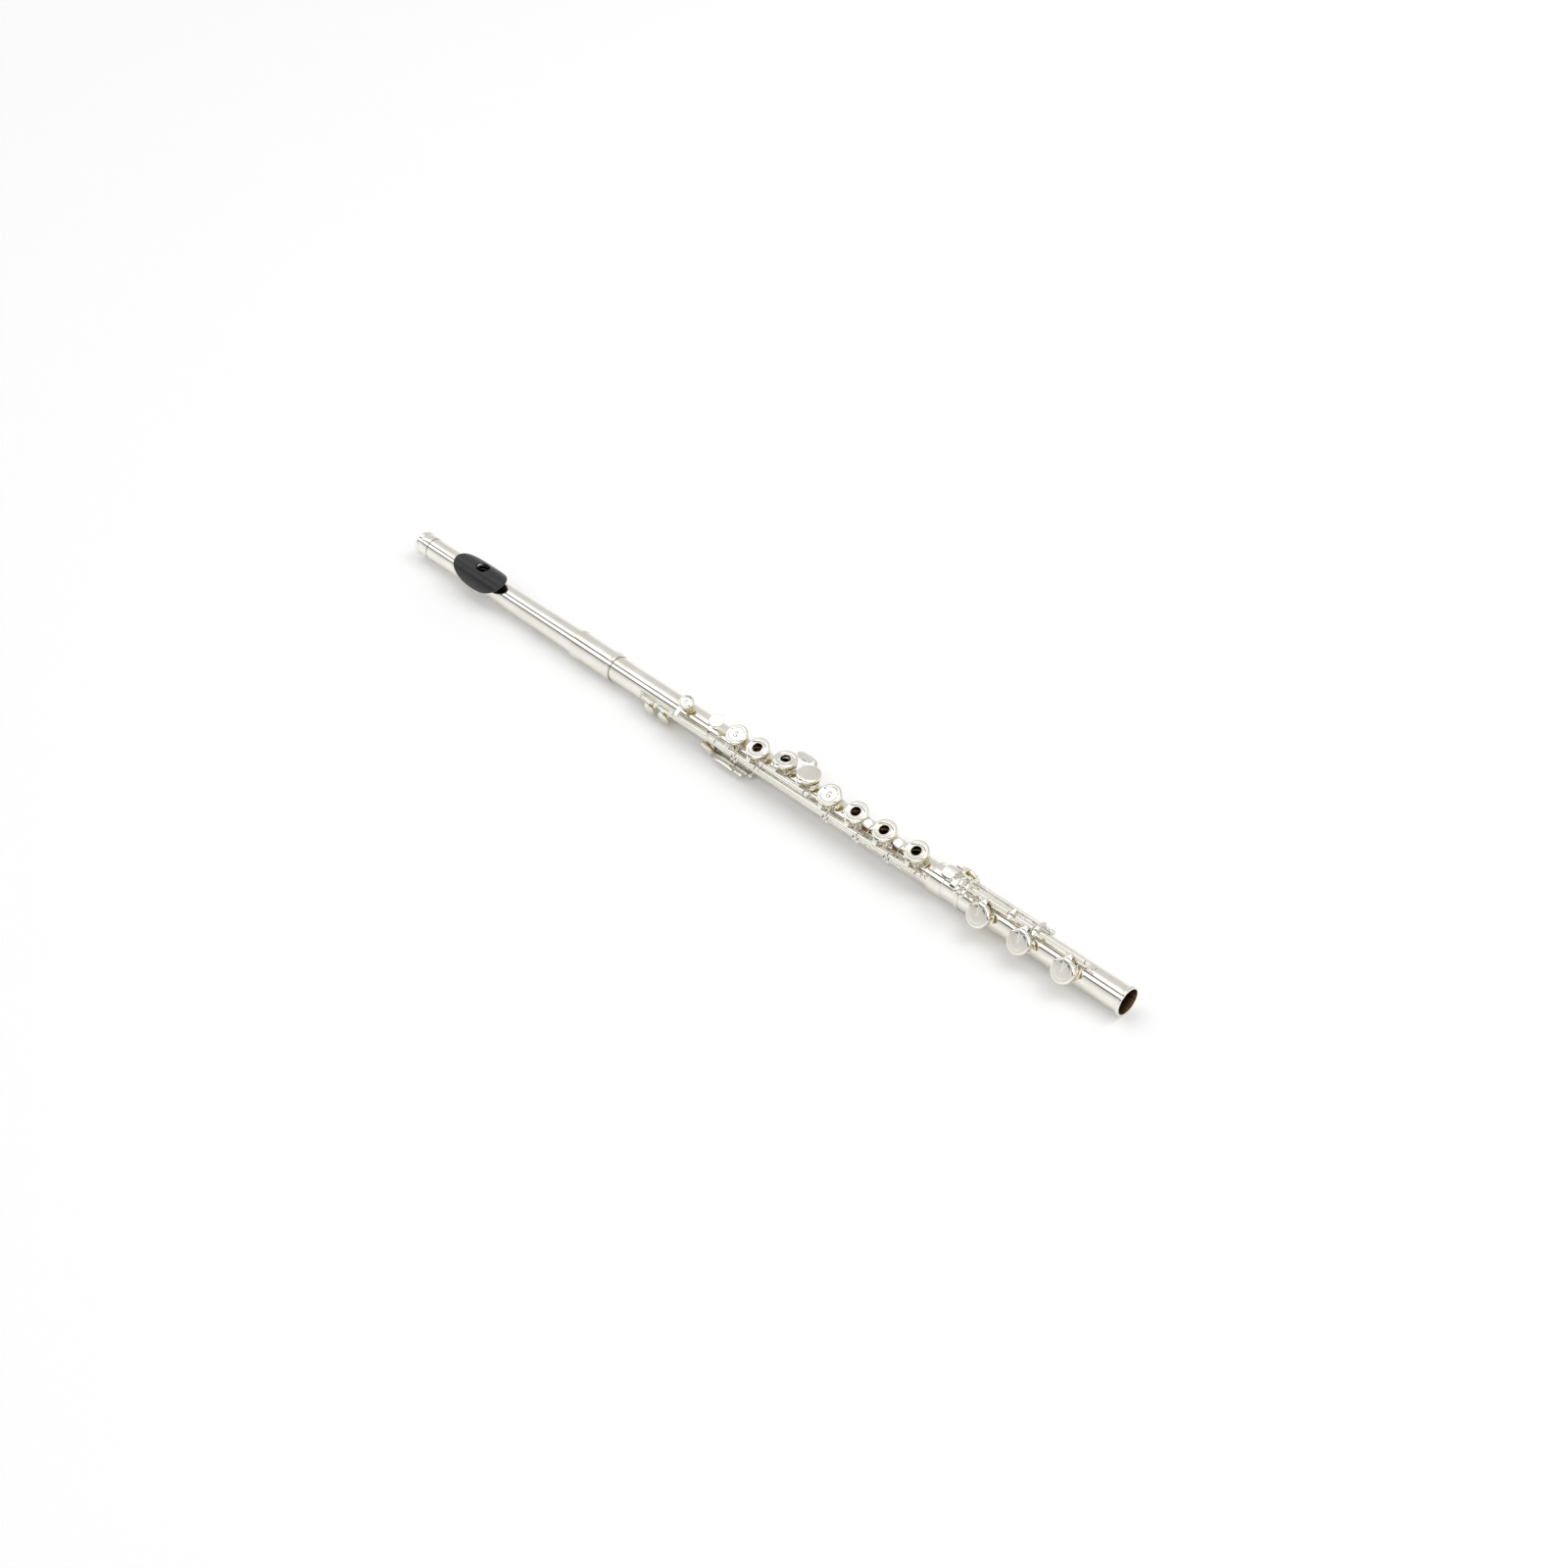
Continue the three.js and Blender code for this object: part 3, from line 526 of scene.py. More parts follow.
def makeTubes():
    b = body
    bodyNames = [n for n in cups if n not in onFoot]
    profile = [
        (b["bore"], b["start"]), (b["outer"], b["start"]), (b["outer"], b["end"]), (b["bore"], b["end"]),
    ]
    makeTube("bodyTube", profile, bodyNames, bodyRoll, "body_joint", ["body_tube"])
    a, e, end = b["socket"], b["footStart"], b["footEnd"]
    profile = [
        (b["socketBore"], a), (11.1, a), (11.3, a + 0.3), (11.3, a + 1.4), (11.05, a + 1.7),
        (10.8, a + 1.9), (10.8, e + 0.1), (10.6, e + 0.5), (b["outer"], e + 0.8), (b["outer"], end - 3.6),
        (10.25, end - 3.3), (10.3, end - 2.8), (10.9, end - 2.4), (11.2, end - 1.8), (11.2, end - 0.5),
        (11.05, end - 0.1), (10.6, end), (9.7, end), (b["bore"], end - 0.3), (b["bore"], e),
        (b["socketBore"], e),
    ]
    makeTube("footTube", profile, sorted(onFoot), footRoll, "foot_joint", ["foot_tube"])
    bm = bmesh.new()
    bead = b["bead"]
    ring = [
        (9.7, bead - 1), (10.9, bead - 1), (11.2, bead - 0.6), (11.25, bead), (11.2, bead + 0.6),
        (10.9, bead + 1), (9.7, bead + 1),
    ]
    spin(bm, ring, alongTube, tubeSides, closed=True)
    newPiece(bm, "footRing", "foot_joint", [tubeSilver])


def makeBarrel():
    bm = bmesh.new()
    inside, x0, x1 = body["socketBore"], headShape["barrelStart"], headShape["barrelEnd"]
    profile = [
        (inside, x0), (11.2, x0), (11.5, x0 + 0.4), (11.5, x0 + 1.3), (11.2, x0 + 1.7), (11.35, x0 + 2.1),
        (11.35, x0 + 2.6), (11.0, x0 + 3.1), (11.0, x1 - 5.6), (11.3, x1 - 5.2), (11.3, x1 - 4.6),
        (11.0, x1 - 4.2), (11.0, x1 - 2.8), (11.25, x1 - 2.4), (11.5, x1 - 1.9), (11.5, x1 - 0.5),
        (11.2, x1), (inside, x1),
    ]
    spin(bm, profile, alongTube, tubeSides, closed=True)
    newPiece(bm, "barrelSleeve", "body_joint", [tubeSilver], ["barrel"], sharp=34)


makeTubes()
makeBarrel()
print("tubes made")

# ---- rods, posts and ribs
rods = {  # angle, radius, key tube radius, roll of the joint it is on
    "stack": (50.0, 15.6, 1.9, bodyRoll), "offsetG": (33.0, 15.6, 1.9, bodyRoll),
    "trill": (65.0, 12.4, 1.35, bodyRoll),
    "thumb": (128.0, 12.9, 1.35, bodyRoll), "gSharp": (-118.0, 14.0, 1.5, bodyRoll),
    "footKeys": (-48.0, 16.0, 1.9, footRoll),
    "cLever": (-63.0, 13.0, 1.35, footRoll), "bLever": (-77.5, 14.0, 1.35, footRoll),
}
ribs = {  # body, node, angles from and to, x from and to, posts
    "mainRib": (
        "body_joint", "main_rib", 54.5, 69, 190, 477,
        [
            (230, "stack"), (319, "stack"), (474, "stack"), (193.5, "trill"), (211.4, "trill"),
            (427.2, "trill"), (455.8, "trill"),
        ],
    ),
    "gRib": ("body_joint", "g_rib", 36.8, 41.5, 317.6, 368.5, [(320.2, "offsetG"), (365.2, "offsetG")]),
    "thumbRib": ("body_joint", "thumb_rib", 128, 135, 255, 309, [(257.6, "thumb"), (306.6, "thumb")]),
    "gSharpRib": ("body_joint", "g_sharp_rib", -124, -112, 330, 371, [(333, "gSharp"), (368.4, "gSharp")]),
    "footRib": (
        "foot_joint", "foot_rib", -80, -54.5, 492.6, 617,
        [
            (493.2, "footKeys"), (613.6, "footKeys"), (501.7, "cLever"), (554.8, "cLever"),
            (493, "bLever"), (505.3, "bLever"), (577.2, "bLever"),
        ],
    ),
}
postShape = {
    "ball": 2.0, "thumbBall": 1.9, "half": 1.7, "stem": 1.0, "base": 2.0, "ribHeight": 10.05,
    "ribThick": 0.6,
}
needles = [  # x at the post, x at the tip, rod
    (231, 247, "stack"), (318, 301, "stack"), (320, 334, "stack"), (473, 458, "stack"),
    (319, 336, "offsetG"), (364, 350, "offsetG"), (258.5, 272, "thumb"), (334, 347, "gSharp"),
    (494.5, 512, "footKeys"), (612.5, 596, "footKeys"), (556, 541, "cLever"), (576, 560, "bLever"),
]


# A post: a turned foot on the rib, a stem, and a knob that the rod passes through.
def addPost(bm, x, rod):
    p = postShape
    angle, radius = rods[rod][:2]
    size = p["thumbBall"] if rod == "thumb" else p["ball"]
    half = p["half"]
    stem = [
        (0, 10.0), (p["base"], 10.0), (p["base"], 10.75), (1.45, 11.0), (1.15, 11.5), (p["stem"], 12.2),
        (p["stem"], radius - 1.9), (1.25, radius - 1.5), (0, radius - 1.5),
    ]
    spin(bm, stem, onTube(x, angle), 20)
    knob = [
        (0, x - half), (size * 0.8, x - half), (size, x - 1.1), (size, x + 1.1), (size * 0.8, x + half),
        (0, x + half),
    ]
    spin(bm, knob, alongRod(angle, radius), 24)


# The head of a pivot screw, with a small hollow in it, on the outer face of the post at each end of a rod.
def addPivotScrew(bm, x, way, rod):
    face = x + way * postShape["half"]
    screw = [
        (0, face - way * 0.4), (1.15, face - way * 0.4), (1.15, face + way * 0.35),
        (0.95, face + way * 0.5), (0.35, face + way * 0.5), (0.3, face + way * 0.2),
        (0, face + way * 0.2),
    ]
    spin(bm, screw, alongRod(*rods[rod][:2]), 16)


def makePosts():
    high, thick = postShape["ribHeight"], postShape["ribThick"]
    for name, (bodyName, node, a0, a1, x0, x1, posts) in ribs.items():
        bm = bmesh.new()
        halfLength, halfArc = (x1 - x0) / 2, (a1 - a0) / 2
        plate(
            bm, (x0 + x1) / 2, (a0 + a1) / 2, halfLength, halfArc, high + thick, thick - 0.1, 0.02, 0.0,
            10,
        )
        ends = {}
        for x, rod in posts:
            addPost(bm, x, rod)
            ends.setdefault(rod, []).append(x)
        for rod, xs in ends.items():
            addPivotScrew(bm, min(xs), -1, rod)
            addPivotScrew(bm, max(xs), 1, rod)
        newPiece(bm, name, bodyName, [keySilver], [node], place=rolled[rods[posts[0][1]][3]])


def makeNeedles():
    gauge = (0.42, 0.36, 0.28)
    for name, bodyName, roll in (("Body", "body_joint", bodyRoll), ("Foot", "foot_joint", footRoll)):
        bm = bmesh.new()
        for x0, x1, rod in needles:
            angle, radius, _, rodRoll = rods[rod]
            if rodRoll != roll:
                continue
            low = radius - (2.9 if radius > 13.5 else 1.9)
            spread = 3.0 if angle > 0 else -3.0
            path = [
                spot(x0, angle + spread * 0.2, low), spot((x0 + x1) / 2, angle + spread, low + 0.1),
                spot(x1, angle + spread * 1.6, low + 0.4),
            ]
            arm(bm, path, gauge, gauge, 8)
        newPiece(
            bm, "needleSprings" + name, bodyName, [springSteel], place=rolled[roll],
        )


rodSpans = {
    "main_rod": ("body_joint", "stack", 228.5, 475.5), "g_rod": ("body_joint", "offsetG", 318.8, 366.6),
    "thumb_rod": ("body_joint", "thumb", 256.2, 308.0),
    "g_sharp_rod": ("body_joint", "gSharp", 331.6, 369.8),
    "foot_rod": ("foot_joint", "footKeys", 491.8, 615.0),
    "c_lever_rod": ("foot_joint", "cLever", 500.3, 556.2),
    "b_lever_rod": ("foot_joint", "bLever", 491.0, 578.6),
}


def makeRods():
    for node, (bodyName, rod, x0, x1) in rodSpans.items():
        angle, radius, _, roll = rods[rod]
        bm = bmesh.new()
        bar(bm, x0, x1, angle, radius, 0.7, steps=16, edge=0.2)
        newPiece(bm, node + "_shaft", bodyName, [rodSteel], [node], place=rolled[roll])


makePosts()
makeNeedles()
makeRods()
print("posts, springs and rods made")

# ---- keys
cupShape = {"wall": 0.6, "fingerHole": 3.75, "skirt": 1.0, "over": 0.3, "crown": 1.2}


def cupHeights(name):
    pad = cups[name][3]
    bottom = rimHeight(name) + 0.3
    ceiling = bottom + pad + cupShape["over"]
    return bottom, ceiling, ceiling + (cupShape["crown"] if cups[name][2] > 7 else 1.0)


def addCup(bm, name):
    x, angle, r, _, kind = cups[name]
    bottom, ceiling, top = cupHeights(name)
    wall, hole = cupShape["wall"], cupShape["fingerHole"]
    low = bottom + cupShape["skirt"]
    skirt = [
        (r - wall, ceiling), (r - wall, low + 0.15), (r - wall + 0.15, low), (r - 0.12, low),
        (r, low + 0.15), (r, top - 1.25), (r - 0.12, top - 0.85), (r - 0.5, top - 0.5),
        (r - 1.3, top - 0.22),
    ]
    if kind == "open":
        face = [
            (r - 1.9, top - 0.12), (r - 2.25, top - 0.3), (r - 2.5, top - 0.5), (hole + 1.15, top - 0.62),
            (hole + 0.95, top - 0.3), (hole + 0.7, top - 0.1), (hole + 0.3, top - 0.08),
            (hole + 0.05, top - 0.3), (hole, top - 0.6), (hole, ceiling - 1.4),
            (hole + 0.5, ceiling - 1.4), (hole + 0.5, ceiling),
        ]
        spin(bm, skirt + face, onTube(x, angle), 56, closed=True)
        return
    if kind == "ringed":
        face = [
            (r * 0.80, top - 0.12), (r * 0.72, top - 0.2), (r * 0.68, top - 0.55), (r * 0.62, top - 0.68),
            (r * 0.3, top - 0.62), (r * 0.22, top - 0.5), (r * 0.12, top - 0.12), (0, top - 0.02),
        ]
    elif kind == "pointed":
        face = [
            (r * 0.80, top - 0.05), (r * 0.74, top - 0.18), (r * 0.70, top - 0.1), (r * 0.45, top + 0.02),
            (0, top + 0.06),
        ]
    else:
        face = [(r * 0.8, top - 0.08), (r * 0.5, top + 0.05), (0, top + 0.1)]
    spin(bm, [(0, ceiling)] + skirt + face, onTube(x, angle), 56)


# The arm that carries a cup, from the rod over its shoulder; a pointed one runs to a dot in the middle.
def addCupArm(bm, name, rod):
    x, angle, r, _, kind = cups[name]
    rodAngle, rodRadius = rods[rod][:2]
    top = cupHeights(name)[2]
    turn = rodAngle - angle
    side = -1 if turn > 0 else 1
    y = -rodRadius * math.sin(rad(turn))
    z = rodRadius * math.cos(rad(turn))
    place = onTube(x, angle)
    spots = [
        (y, z + 0.3), (y * 0.98, z + (top - z) * 0.5), (side * (r + 0.35), top - 0.95),
        (side * (r - 1.1), top - 0.25),
    ]
    widths, thicks = [3.6, 3.2, 4.2, 4.6], [2.2, 1.5, 1.2, 1.0]
    if kind == "pointed":
        spots += [(side * (r - 3.2), top + 0.02), (side * (r - 6.0), top + 0.12), (side * 0.6, top + 0.2)]
        widths = [3.6, 3.4, 5.0, 5.4, 4.4, 2.6, 0.9]
        thicks = [2.2, 1.5, 1.2, 0.9, 0.8, 0.7, 0.5]
    elif kind == "ringed":
        spots += [(side * (r * 0.74), top - 0.15)]
        widths, thicks = widths + [2.2], thicks + [0.6]
    path = [place @ Vector((0, a, b)) for a, b in spots]
    arm(bm, path, widths, thicks)
    if kind == "pointed":
        spin(bm, [(0, top), (0.95, top), (0.95, top + 0.3), (0.6, top + 0.5), (0, top + 0.5)], place, 20)


def addKeyTube(bm, rod, x0, x1, collars):
    angle, radius, size, _ = rods[rod]
    bar(bm, x0, x1, angle, radius, size, bore=0.85, steps=28)
    for x in (x0 + 1.1, x1 - 1.1) + tuple(collars):
        bar(bm, x - 0.45, x + 0.45, angle, radius, size + 0.16, bore=size - 0.2, steps=28, edge=0.12)


# A key is drawn closed on its rim, then swung open about its rod.
def swung(rod, turn):
    angle, radius, _, roll = rods[rod]
    axis = spot(0, angle, radius)
    swing = Matrix.Rotation(rad(turn), 4, "X")
    return rolled[roll] @ Matrix.Translation(axis) @ swing @ Matrix.Translation(-axis)


def makePad(name, rod, turn, bodyName):
    x, angle, r, pad, kind = cups[name]
    bottom = cupHeights(name)[0]
    edge, seat = r - cupShape["wall"] - 0.15, toneHoleRadius(name)
    start = cupShape["fingerHole"] + 0.55 if kind == "open" else 0
    low = bottom + cupShape["skirt"] - 0.06
    face = [
        (edge, bottom + pad), (edge, low), (r - 0.2, low), (r - 0.08, low - 0.2),
        (r - 0.12, bottom + 0.3), (r - 0.45, bottom + 0.06), (seat + 0.9, bottom + 0.04),
        (seat + 0.35, bottom + 0.12), (seat - 0.1, bottom + 0.06), (seat - 0.6, bottom),
        (start + 0.3, bottom + 0.02),
    ]
    closing = [(start, bottom + 0.3), (start, bottom + pad)] if start else [(0, bottom + 0.02)]
    bm = bmesh.new()
    opening = [] if start else [(0, bottom + pad)]
    spin(bm, opening + face + closing, onTube(x, angle), 48, closed=bool(start))
    place = swung(rod, turn)
    piece = newPiece(bm, name + "_padSkin", bodyName, [padSkin], [name + "_pad"], place=place)


keyRows = {  # body: rod, lift, tube from and to, cups, collars
    "c_sharp_key": ("stack", 10, 232.5, 276, ["c_sharp"], (250,)),
    "b_flat_key": ("stack", 10, 276.6, 297.2, ["b_flat"], (282.5,)),
    "a_key": ("stack", 10, 297.8, 316.8, ["a"], ()),
    "g_key": ("offsetG", 10, 322.6, 362.8, ["upper_g", "lower_g"], (342,)),
    "f_sharp_key": ("stack", 10, 321.2, 388.4, ["f_sharp"], (345, 366)),
    "f_key": ("stack", 10, 389, 417.4, ["f"], ()),
    "e_key": ("stack", 10, 418, 446.4, ["e"], (425,)), "d_key": ("stack", 10, 447, 471.7, ["d"], ()),
    "d_trill_key": ("trill", 0, 214, 424.6, ["d_trill"], (245, 302, 370)),
    "d_sharp_trill_key": ("trill", 0, 195.8, 208.8, ["d_sharp_trill"], ()),
    "b_thumb_key": ("thumb", 6, 260, 291.4, ["b_thumb"], ()),
    "b_flat_thumb_lever": ("thumb", 6, 292, 304.2, [], ()),
    "g_sharp_key": ("gSharp", 0, 335.4, 366, ["g_sharp"], ()),
    "d_sharp_foot_key": ("bLever", 0, 495.2, 503, ["d_sharp_foot"], ()),
    "c_sharp_foot_key": ("footKeys", -10, 495.4, 546.4, ["c_sharp_foot"], (515,)),
    "c_foot_key": ("footKeys", -10, 547, 567.6, ["c_foot"], ()),
    "b_foot_key": ("footKeys", -10, 568.2, 611.4, ["b_foot"], (585,)),
    "c_lever": ("cLever", 0, 503.9, 552.6, [], (530,)),
    "b_lever": ("bLever", 0, 507.7, 575, [], (540, 556)),
}
touches = {
    "trillD": 420.0, "trillDSharp": 448.4, "fingerC": 550.0, "fingerB": 571.0, "rollerC": 507.3,
    "rollerB": 512.7,
}
rollerShape = {"angle": -33.7, "height": 20.1, "radius": 1.5, "half": 5.0}


def pathOf(x, points):
    return [spot(x, angle, radius) for angle, radius in points]


def addTrillTouch(bm, x):
    arm(
        bm,
        pathOf(x, [(65, 12.4), (58, 12.4), (50, 12.3), (42, 12.4), (34, 13.5), (27, 15.4), (22, 16.3)]),
        [3.0, 2.8, 2.6, 2.6, 2.8, 3.4, 3.0], [1.6, 1.1, 1.0, 1.0, 1.1, 1.1, 0.9],
    )
    plate(bm, x, 14, 3.35, 13, 17.2, 1.1, 0.42, -0.25, 12)


def onRoller(x):
    across = Matrix.Rotation(rad(-90), 4, "X")
    return onTube(x, rollerShape["angle"], rollerShape["height"]) @ across


def addRollerArm(bm, rod, x):
    angle, radius = rods[rod][:2]
    arm(
        bm, pathOf(x, [(angle, radius), (angle + 3, 18), (-58, 20.4), (-53.6, 21.2)]),
        [2.8, 2.4, 2.4, 2.2], [2.0, 1.5, 1.4, 1.6],
    )
    pin = soften([(0, -6.6), (0.6, -6.6), (0.6, 7.4), (0, 7.4)], 0.15)
    spin(bm, pin, onRoller(x), 14)
    ball(bm, onTube(x, rollerShape["angle"], rollerShape["height"]) @ Vector((0, 6.2, 0)), 1.1, 14)


def addFinger(bm, rod, x):
    angle, radius = rods[rod][:2]
    arm(
        bm,
        pathOf(
            x, [(angle, radius), (angle + 4, 18.3), (-58, 19.9), (-48, 19.9), (-38, 19.2), (-30, 18.5)],
        ),
        [3.2, 2.8, 2.6, 2.8, 3.0, 2.0], [1.8, 1.3, 1.1, 1.1, 1.0, 0.9],
    )


# A clutch lug behind the rod, where one key carries its neighbour; the driving one holds an adjusting screw.
def addClutch(bm, x, driving):
    angle, radius = rods["stack"][:2]
    arm(
        bm, pathOf(x, [(angle, radius + 1.0), (angle + 7, radius + 2.3), (angle + 14, radius + 1.7)]),
        [2.2, 2.5, 2.0], [1.6, 1.3, 1.0], 12,
    )
    if driving:
        screw = [
            (0, 16.2), (0.6, 16.2), (0.6, 18.4), (1.05, 18.4), (1.05, 18.9), (0.85, 19.1), (0.3, 19.1),
            (0.25, 18.8), (0, 18.8),
        ]
        spin(bm, screw, onTube(x, angle + 10), 16)


clutches = {  # key: x and whether it drives
    "b_flat_key": [(295.4, False)], "a_key": [(299.6, True)], "f_sharp_key": [(386.6, False)],
    "f_key": [(390.8, True), (415.6, False)],
    "e_key": [(419.8, True), (444.6, False)], "d_key": [(448.8, True)],
}


def addExtras(bm, key):
    if key == "c_sharp_key":  # the index finger's plain touch
        x, r, top = 268.0, 6.1, 16.6
        profile = [
            (0, top - 1.3), (r - 0.6, top - 1.3), (r, top - 0.9), (r, top - 0.5), (r - 0.25, top - 0.15),
            (r - 0.9, top), (r * 0.5, top - 0.25), (0, top - 0.35),
        ]
        spin(bm, profile, onTube(x, 0), 48)
        arm(
            bm, pathOf(x, [(50, 15.8), (46, 17.4), (30, 17.4), (16, 16.5)]), [3.4, 3.0, 4.0, 3.4],
            [2.0, 1.4, 1.2, 1.0],
        )
    elif key == "d_trill_key":
        addTrillTouch(bm, touches["trillD"])
    elif key == "d_sharp_trill_key":
        angle, radius = rods["trill"][:2]
        bar(bm, 191.5, 457.5, angle, radius, 0.7, steps=16)
        bar(bm, 444.5, 453.4, angle, radius, 1.35, steps=28)
        addTrillTouch(bm, touches["trillDSharp"])
    elif key == "b_thumb_key":
        arm(bm, pathOf(286, [(128, 12.9), (121, 15), (110, 16.4)]), [5, 4.4, 4.8], [1.8, 1.3, 1.0])
        plate(bm, 286, 100.5, 9.5, 9.8, 17.2, 1.2, 0.45, 0.0, 18)
    elif key == "b_flat_thumb_lever":
        arm(bm, pathOf(300.5, [(128, 12.9), (121, 15), (110, 16.4)]), [4.4, 3.6, 4.0], [1.8, 1.3, 1.0])
        plate(bm, 301.25, 100.5, 4.75, 9.8, 17.2, 1.2, 0.35, 0.0, 14)
    elif key == "g_sharp_key":
        reach = [(-118, 14), (-108, 18), (-92, 20.8), (-79, 22.6), (-69, 23.2)]
        arm(bm, pathOf(344, reach), [3.6, 3.2, 3.2, 3.6, 2.4], [2.0, 1.5, 1.3, 1.2, 1.0])
        plate(bm, 338.6, -60, 7.2, 10.5, 21.3, 1.1, 0.45, 0.1, 20, -2.8)
    elif key == "d_sharp_foot_key":
        arm(
            bm, pathOf(496.4, [(-77.5, 14), (-73, 18), (-66, 19.6), (-58, 19.8)]), [3.4, 3.2, 4.4, 5.0],
            [2.0, 1.5, 1.2, 1.0],
        )
        plate(bm, 494.7, -47.5, 4.7, 15.5, 20.5, 1.2, 0.35, -0.1, 18)
    elif key == "c_sharp_foot_key":
        arm(bm, pathOf(502.4, [(-48, 16), (-43, 17.6), (-37, 17.8)]), [4.2, 4.0, 4.4], [2.2, 1.4, 1.0])
        plate(bm, 502.4, -30.5, 2.2, 10.5, 18.4, 1.2, 0.3, 0.0, 12)
    elif key in ("c_foot_key", "b_foot_key"):
        x = touches["fingerC"] if key == "c_foot_key" else touches["fingerB"]
        arm(bm, pathOf(x, [(-48, 16), (-38, 16.1), (-29, 15.9)]), [3.4, 3.2, 2.2], [1.8, 1.1, 0.8])
    elif key == "c_lever":
        addRollerArm(bm, "cLever", touches["rollerC"])
        addFinger(bm, "cLever", touches["fingerC"])
    elif key == "b_lever":
        addRollerArm(bm, "bLever", touches["rollerB"])
        addFinger(bm, "bLever", touches["fingerB"])


def makeKeys():
    for key, (rod, lift, x0, x1, cupNames, collars) in keyRows.items():
        bm = bmesh.new()
        addKeyTube(bm, rod, x0, x1, collars)
        for name in cupNames:
            addCup(bm, name)
            addCupArm(bm, name, rod)
        for x, driving in clutches.get(key, ()):
            addClutch(bm, x, driving)
        addExtras(bm, key)
        newPiece(bm, key + "_metal", key, [keySilver], [key], place=swung(rod, lift))
        for name in cupNames:
            makePad(name, rod, lift, key)


def makeRollers():
    half, radius = rollerShape["half"], rollerShape["radius"]
    profile = [
        (0.85, -half), (1.15, -half), (radius, -half + 0.5), (radius, half - 0.5), (1.15, half),
        (0.85, half),
    ]
    for name, x in (("c_roller", touches["rollerC"]), ("b_roller", touches["rollerB"])):
        bm = bmesh.new()
        spin(bm, profile, onRoller(x), 28, closed=True)
        newPiece(bm, name + "_sleeve", name, [keySilver], [name], place=rolled[footRoll])


# Cork stops under the trill touches and under the D sharp foot key's arm.
corks = [  # body, x, angle, radius, thickness, half length, half arc
    ("d_trill_key", touches["trillD"], 26, 14.3, 1.9, 2.3, 6.0),
    ("d_sharp_trill_key", touches["trillDSharp"], 26, 14.3, 1.9, 2.3, 6.0),
    ("d_sharp_foot_key", 496.5, -66.5, 18.9, 1.0, 1.6, 4.0),
]


def makeCorks():
    for bodyName, x, angle, radius, thick, half, arc in corks:
        rod = keyRows[bodyName][0]
        bm = bmesh.new()
        plate(bm, x, angle, half, arc, radius + thick, thick, 0.1, 0.0, 6)
        newPiece(bm, bodyName + "_cork", bodyName, [cork], place=rolled[rods[rod][3]])


makeKeys()
makeRollers()
makeCorks()
print("keys made")

# ---- carried-over parts, all inside the head tube
nodeLooks = {"stopper_screw": keySilver, "stopper_nut": keySilver, "stopper_cork": cork}
for node, material in nodeLooks.items():
    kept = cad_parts[node]
    kept.data.materials.clear()
    kept.data.materials.append(material)

# ---- floor, light and camera
studio = {"floor": "#fdfdfd", "worldStrength": 1.2, "keyEnergy": 13.0, "keySize": 1.4}


def makeFloor():
    bm = bmesh.new()
    bmesh.ops.create_grid(bm, x_segments=1, y_segments=1, size=15.0)
    mesh = bpy.data.meshes.new("floor")
    bm.to_mesh(mesh)
    bm.free()
    floor = bpy.data.objects.new("floor", mesh)
    bpy.context.scene.collection.objects.link(floor)
    material = newMaterial("paperSweep", studio["floor"], 0.9)[0]
    mesh.materials.append(material)


# The studio is bands across the sky, by angle round the tube: grey behind, white overhead, two dark gaps.
skyBands = [
    (-180, 1.0), (-120, 0.75), (-60, 0.6), (-24, 0.62), (-10, 1.0), (2, 1.2), (13, 1.0), (17, 0.02),
    (23, 0.02), (27, 1.2), (48, 1.2), (52, 0.02), (57, 0.02), (61, 0.5), (80, 0.75), (110, 0.85),
]


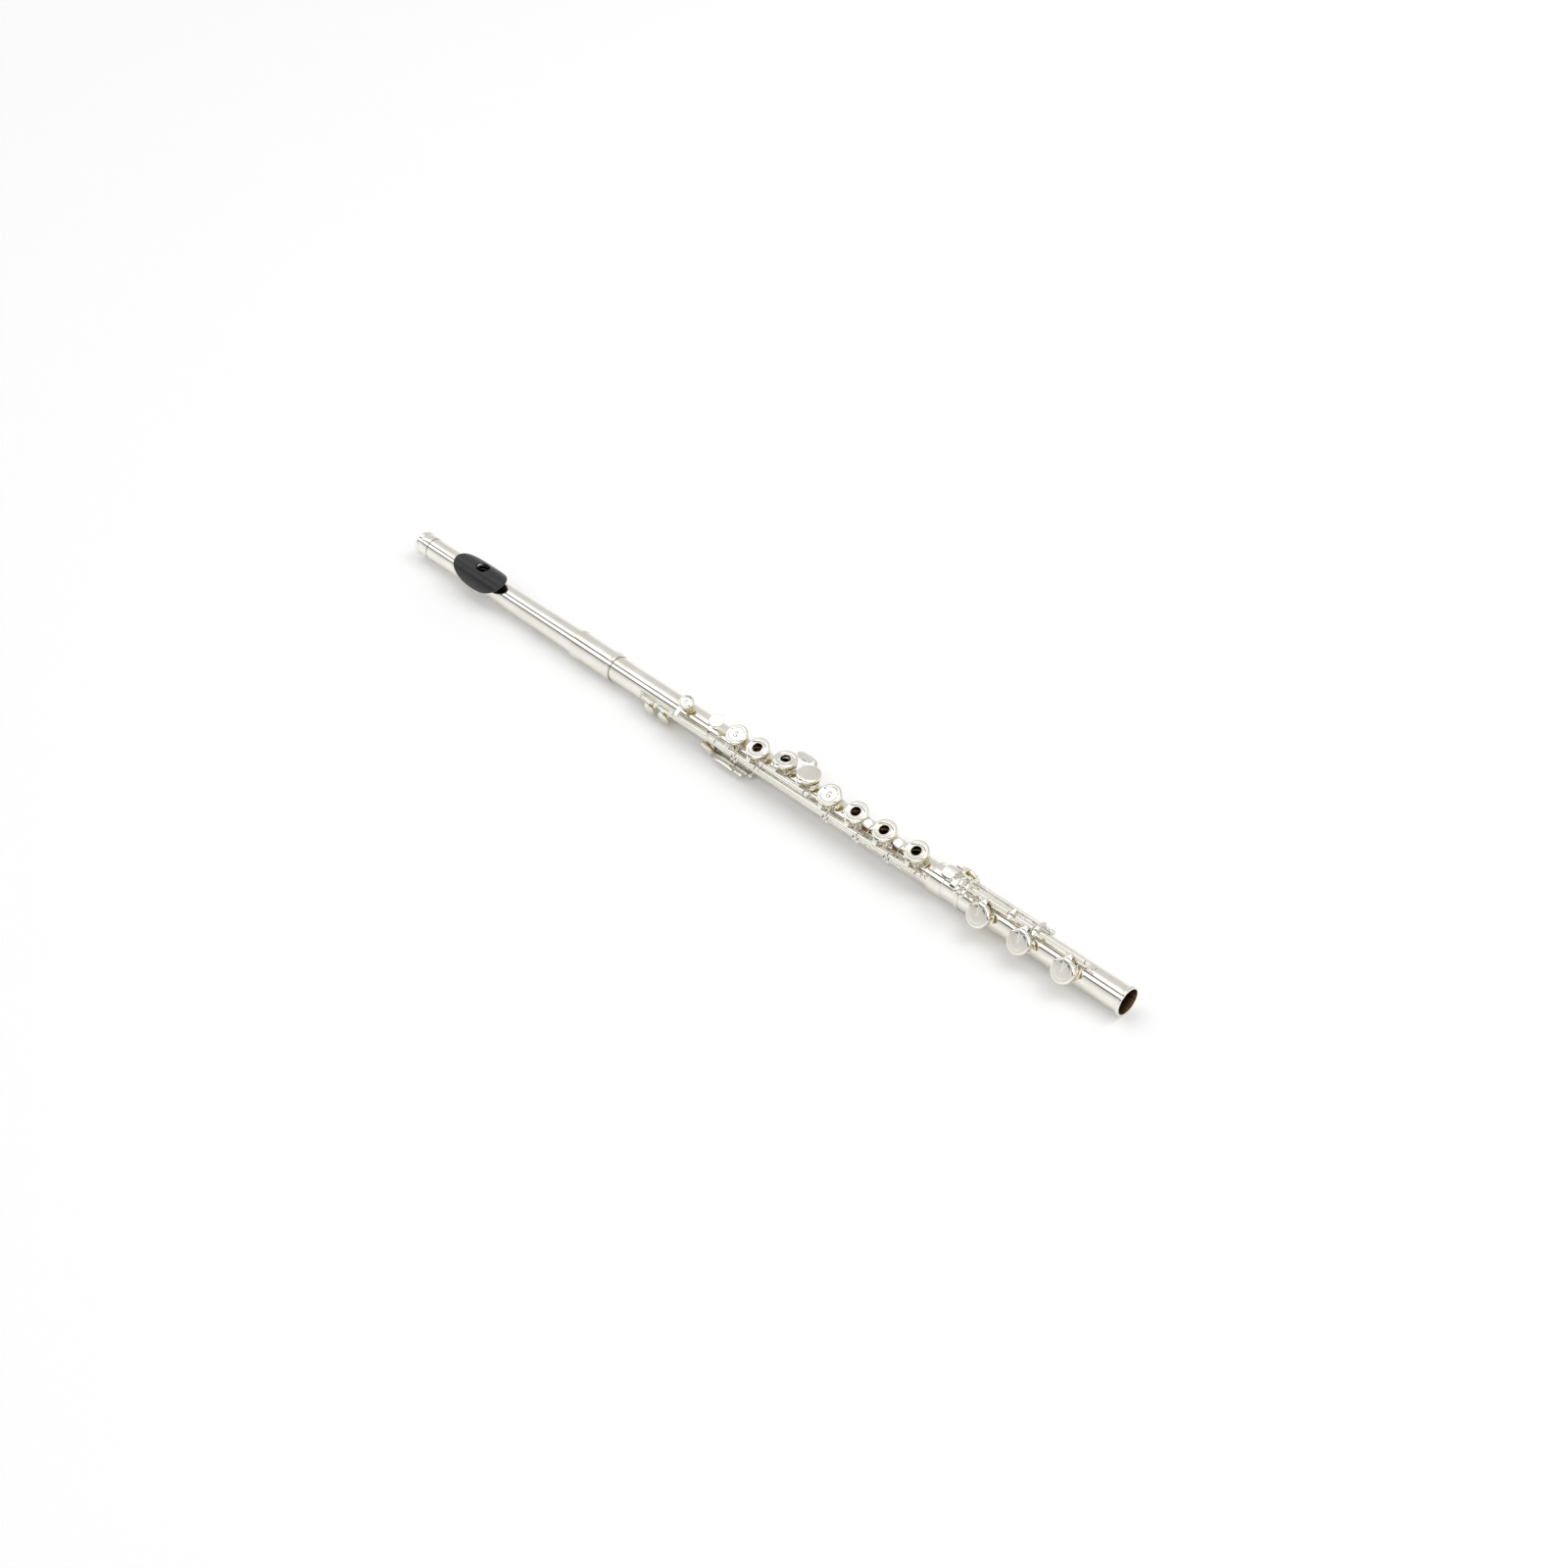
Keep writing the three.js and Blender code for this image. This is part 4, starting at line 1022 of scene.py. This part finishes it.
def makeSky():
    world = bpy.data.worlds.new("studioSky")
    bpy.context.scene.world = world
    world.use_nodes = True
    tree = world.node_tree
    coords = addNode(tree, "ShaderNodeTexCoord")
    split = addNode(tree, "ShaderNodeSeparateXYZ", links={0: coords.outputs["Generated"]})
    flip = addNode(tree, "ShaderNodeMath", {"operation": "MULTIPLY", 1: -1.0}, {0: split.outputs["Y"]})
    turn = addNode(
        tree, "ShaderNodeMath", {"operation": "ARCTAN2"}, {0: flip.outputs[0], 1: split.outputs["Z"]},
    )
    part = addNode(
        tree, "ShaderNodeMath", {"operation": "MULTIPLY_ADD", 1: 1 / math.tau, 2: 0.5},
        {0: turn.outputs[0]},
    )
    stops = [((angle + 180) / 360, grey(value)) for angle, value in skyBands]
    bands = rampOf(tree, part.outputs[0], stops)
    background = tree.nodes["Background"]
    tree.links.new(bands, background.inputs["Color"])
    background.inputs["Strength"].default_value = studio["worldStrength"]


def makeLights():
    light = bpy.data.lights.new("softKey", "AREA")
    light.energy, light.shape, light.size = studio["keyEnergy"], "DISK", studio["keySize"]
    lamp = bpy.data.objects.new("softKey", light)
    spotAt = Vector((0.9, 1.3, 2.2))
    lamp.location = spotAt
    lamp.rotation_euler = (-spotAt).to_track_quat("-Z", "Y").to_euler()
    lamp.visible_glossy = False
    bpy.context.scene.collection.objects.link(lamp)


def makeCamera():
    view = {
        "target": (337.5, -5.1, 0.0), "distance": 1677.0, "azimuth": 44.58, "elevation": 41.69,
        "lens": 53.87,
    }
    azimuth, elevation = rad(view["azimuth"]), rad(view["elevation"])
    level = math.cos(elevation)
    back = Vector((math.sin(azimuth) * level, -math.cos(azimuth) * level, math.sin(elevation)))
    camera = bpy.data.cameras.new("camera")
    camera.lens, camera.sensor_width = view["lens"], 36.0
    camera.clip_end = 50
    eye = bpy.data.objects.new("camera", camera)
    eye.location = toRow @ (Vector(view["target"]) + back * view["distance"])
    eye.rotation_euler = back.to_track_quat("Z", "Y").to_euler()
    bpy.context.scene.collection.objects.link(eye)
    bpy.context.scene.camera = eye


makeFloor()
makeSky()
makeLights()
makeCamera()
bpy.context.scene.view_settings.view_transform = "Standard"
print("studio made")
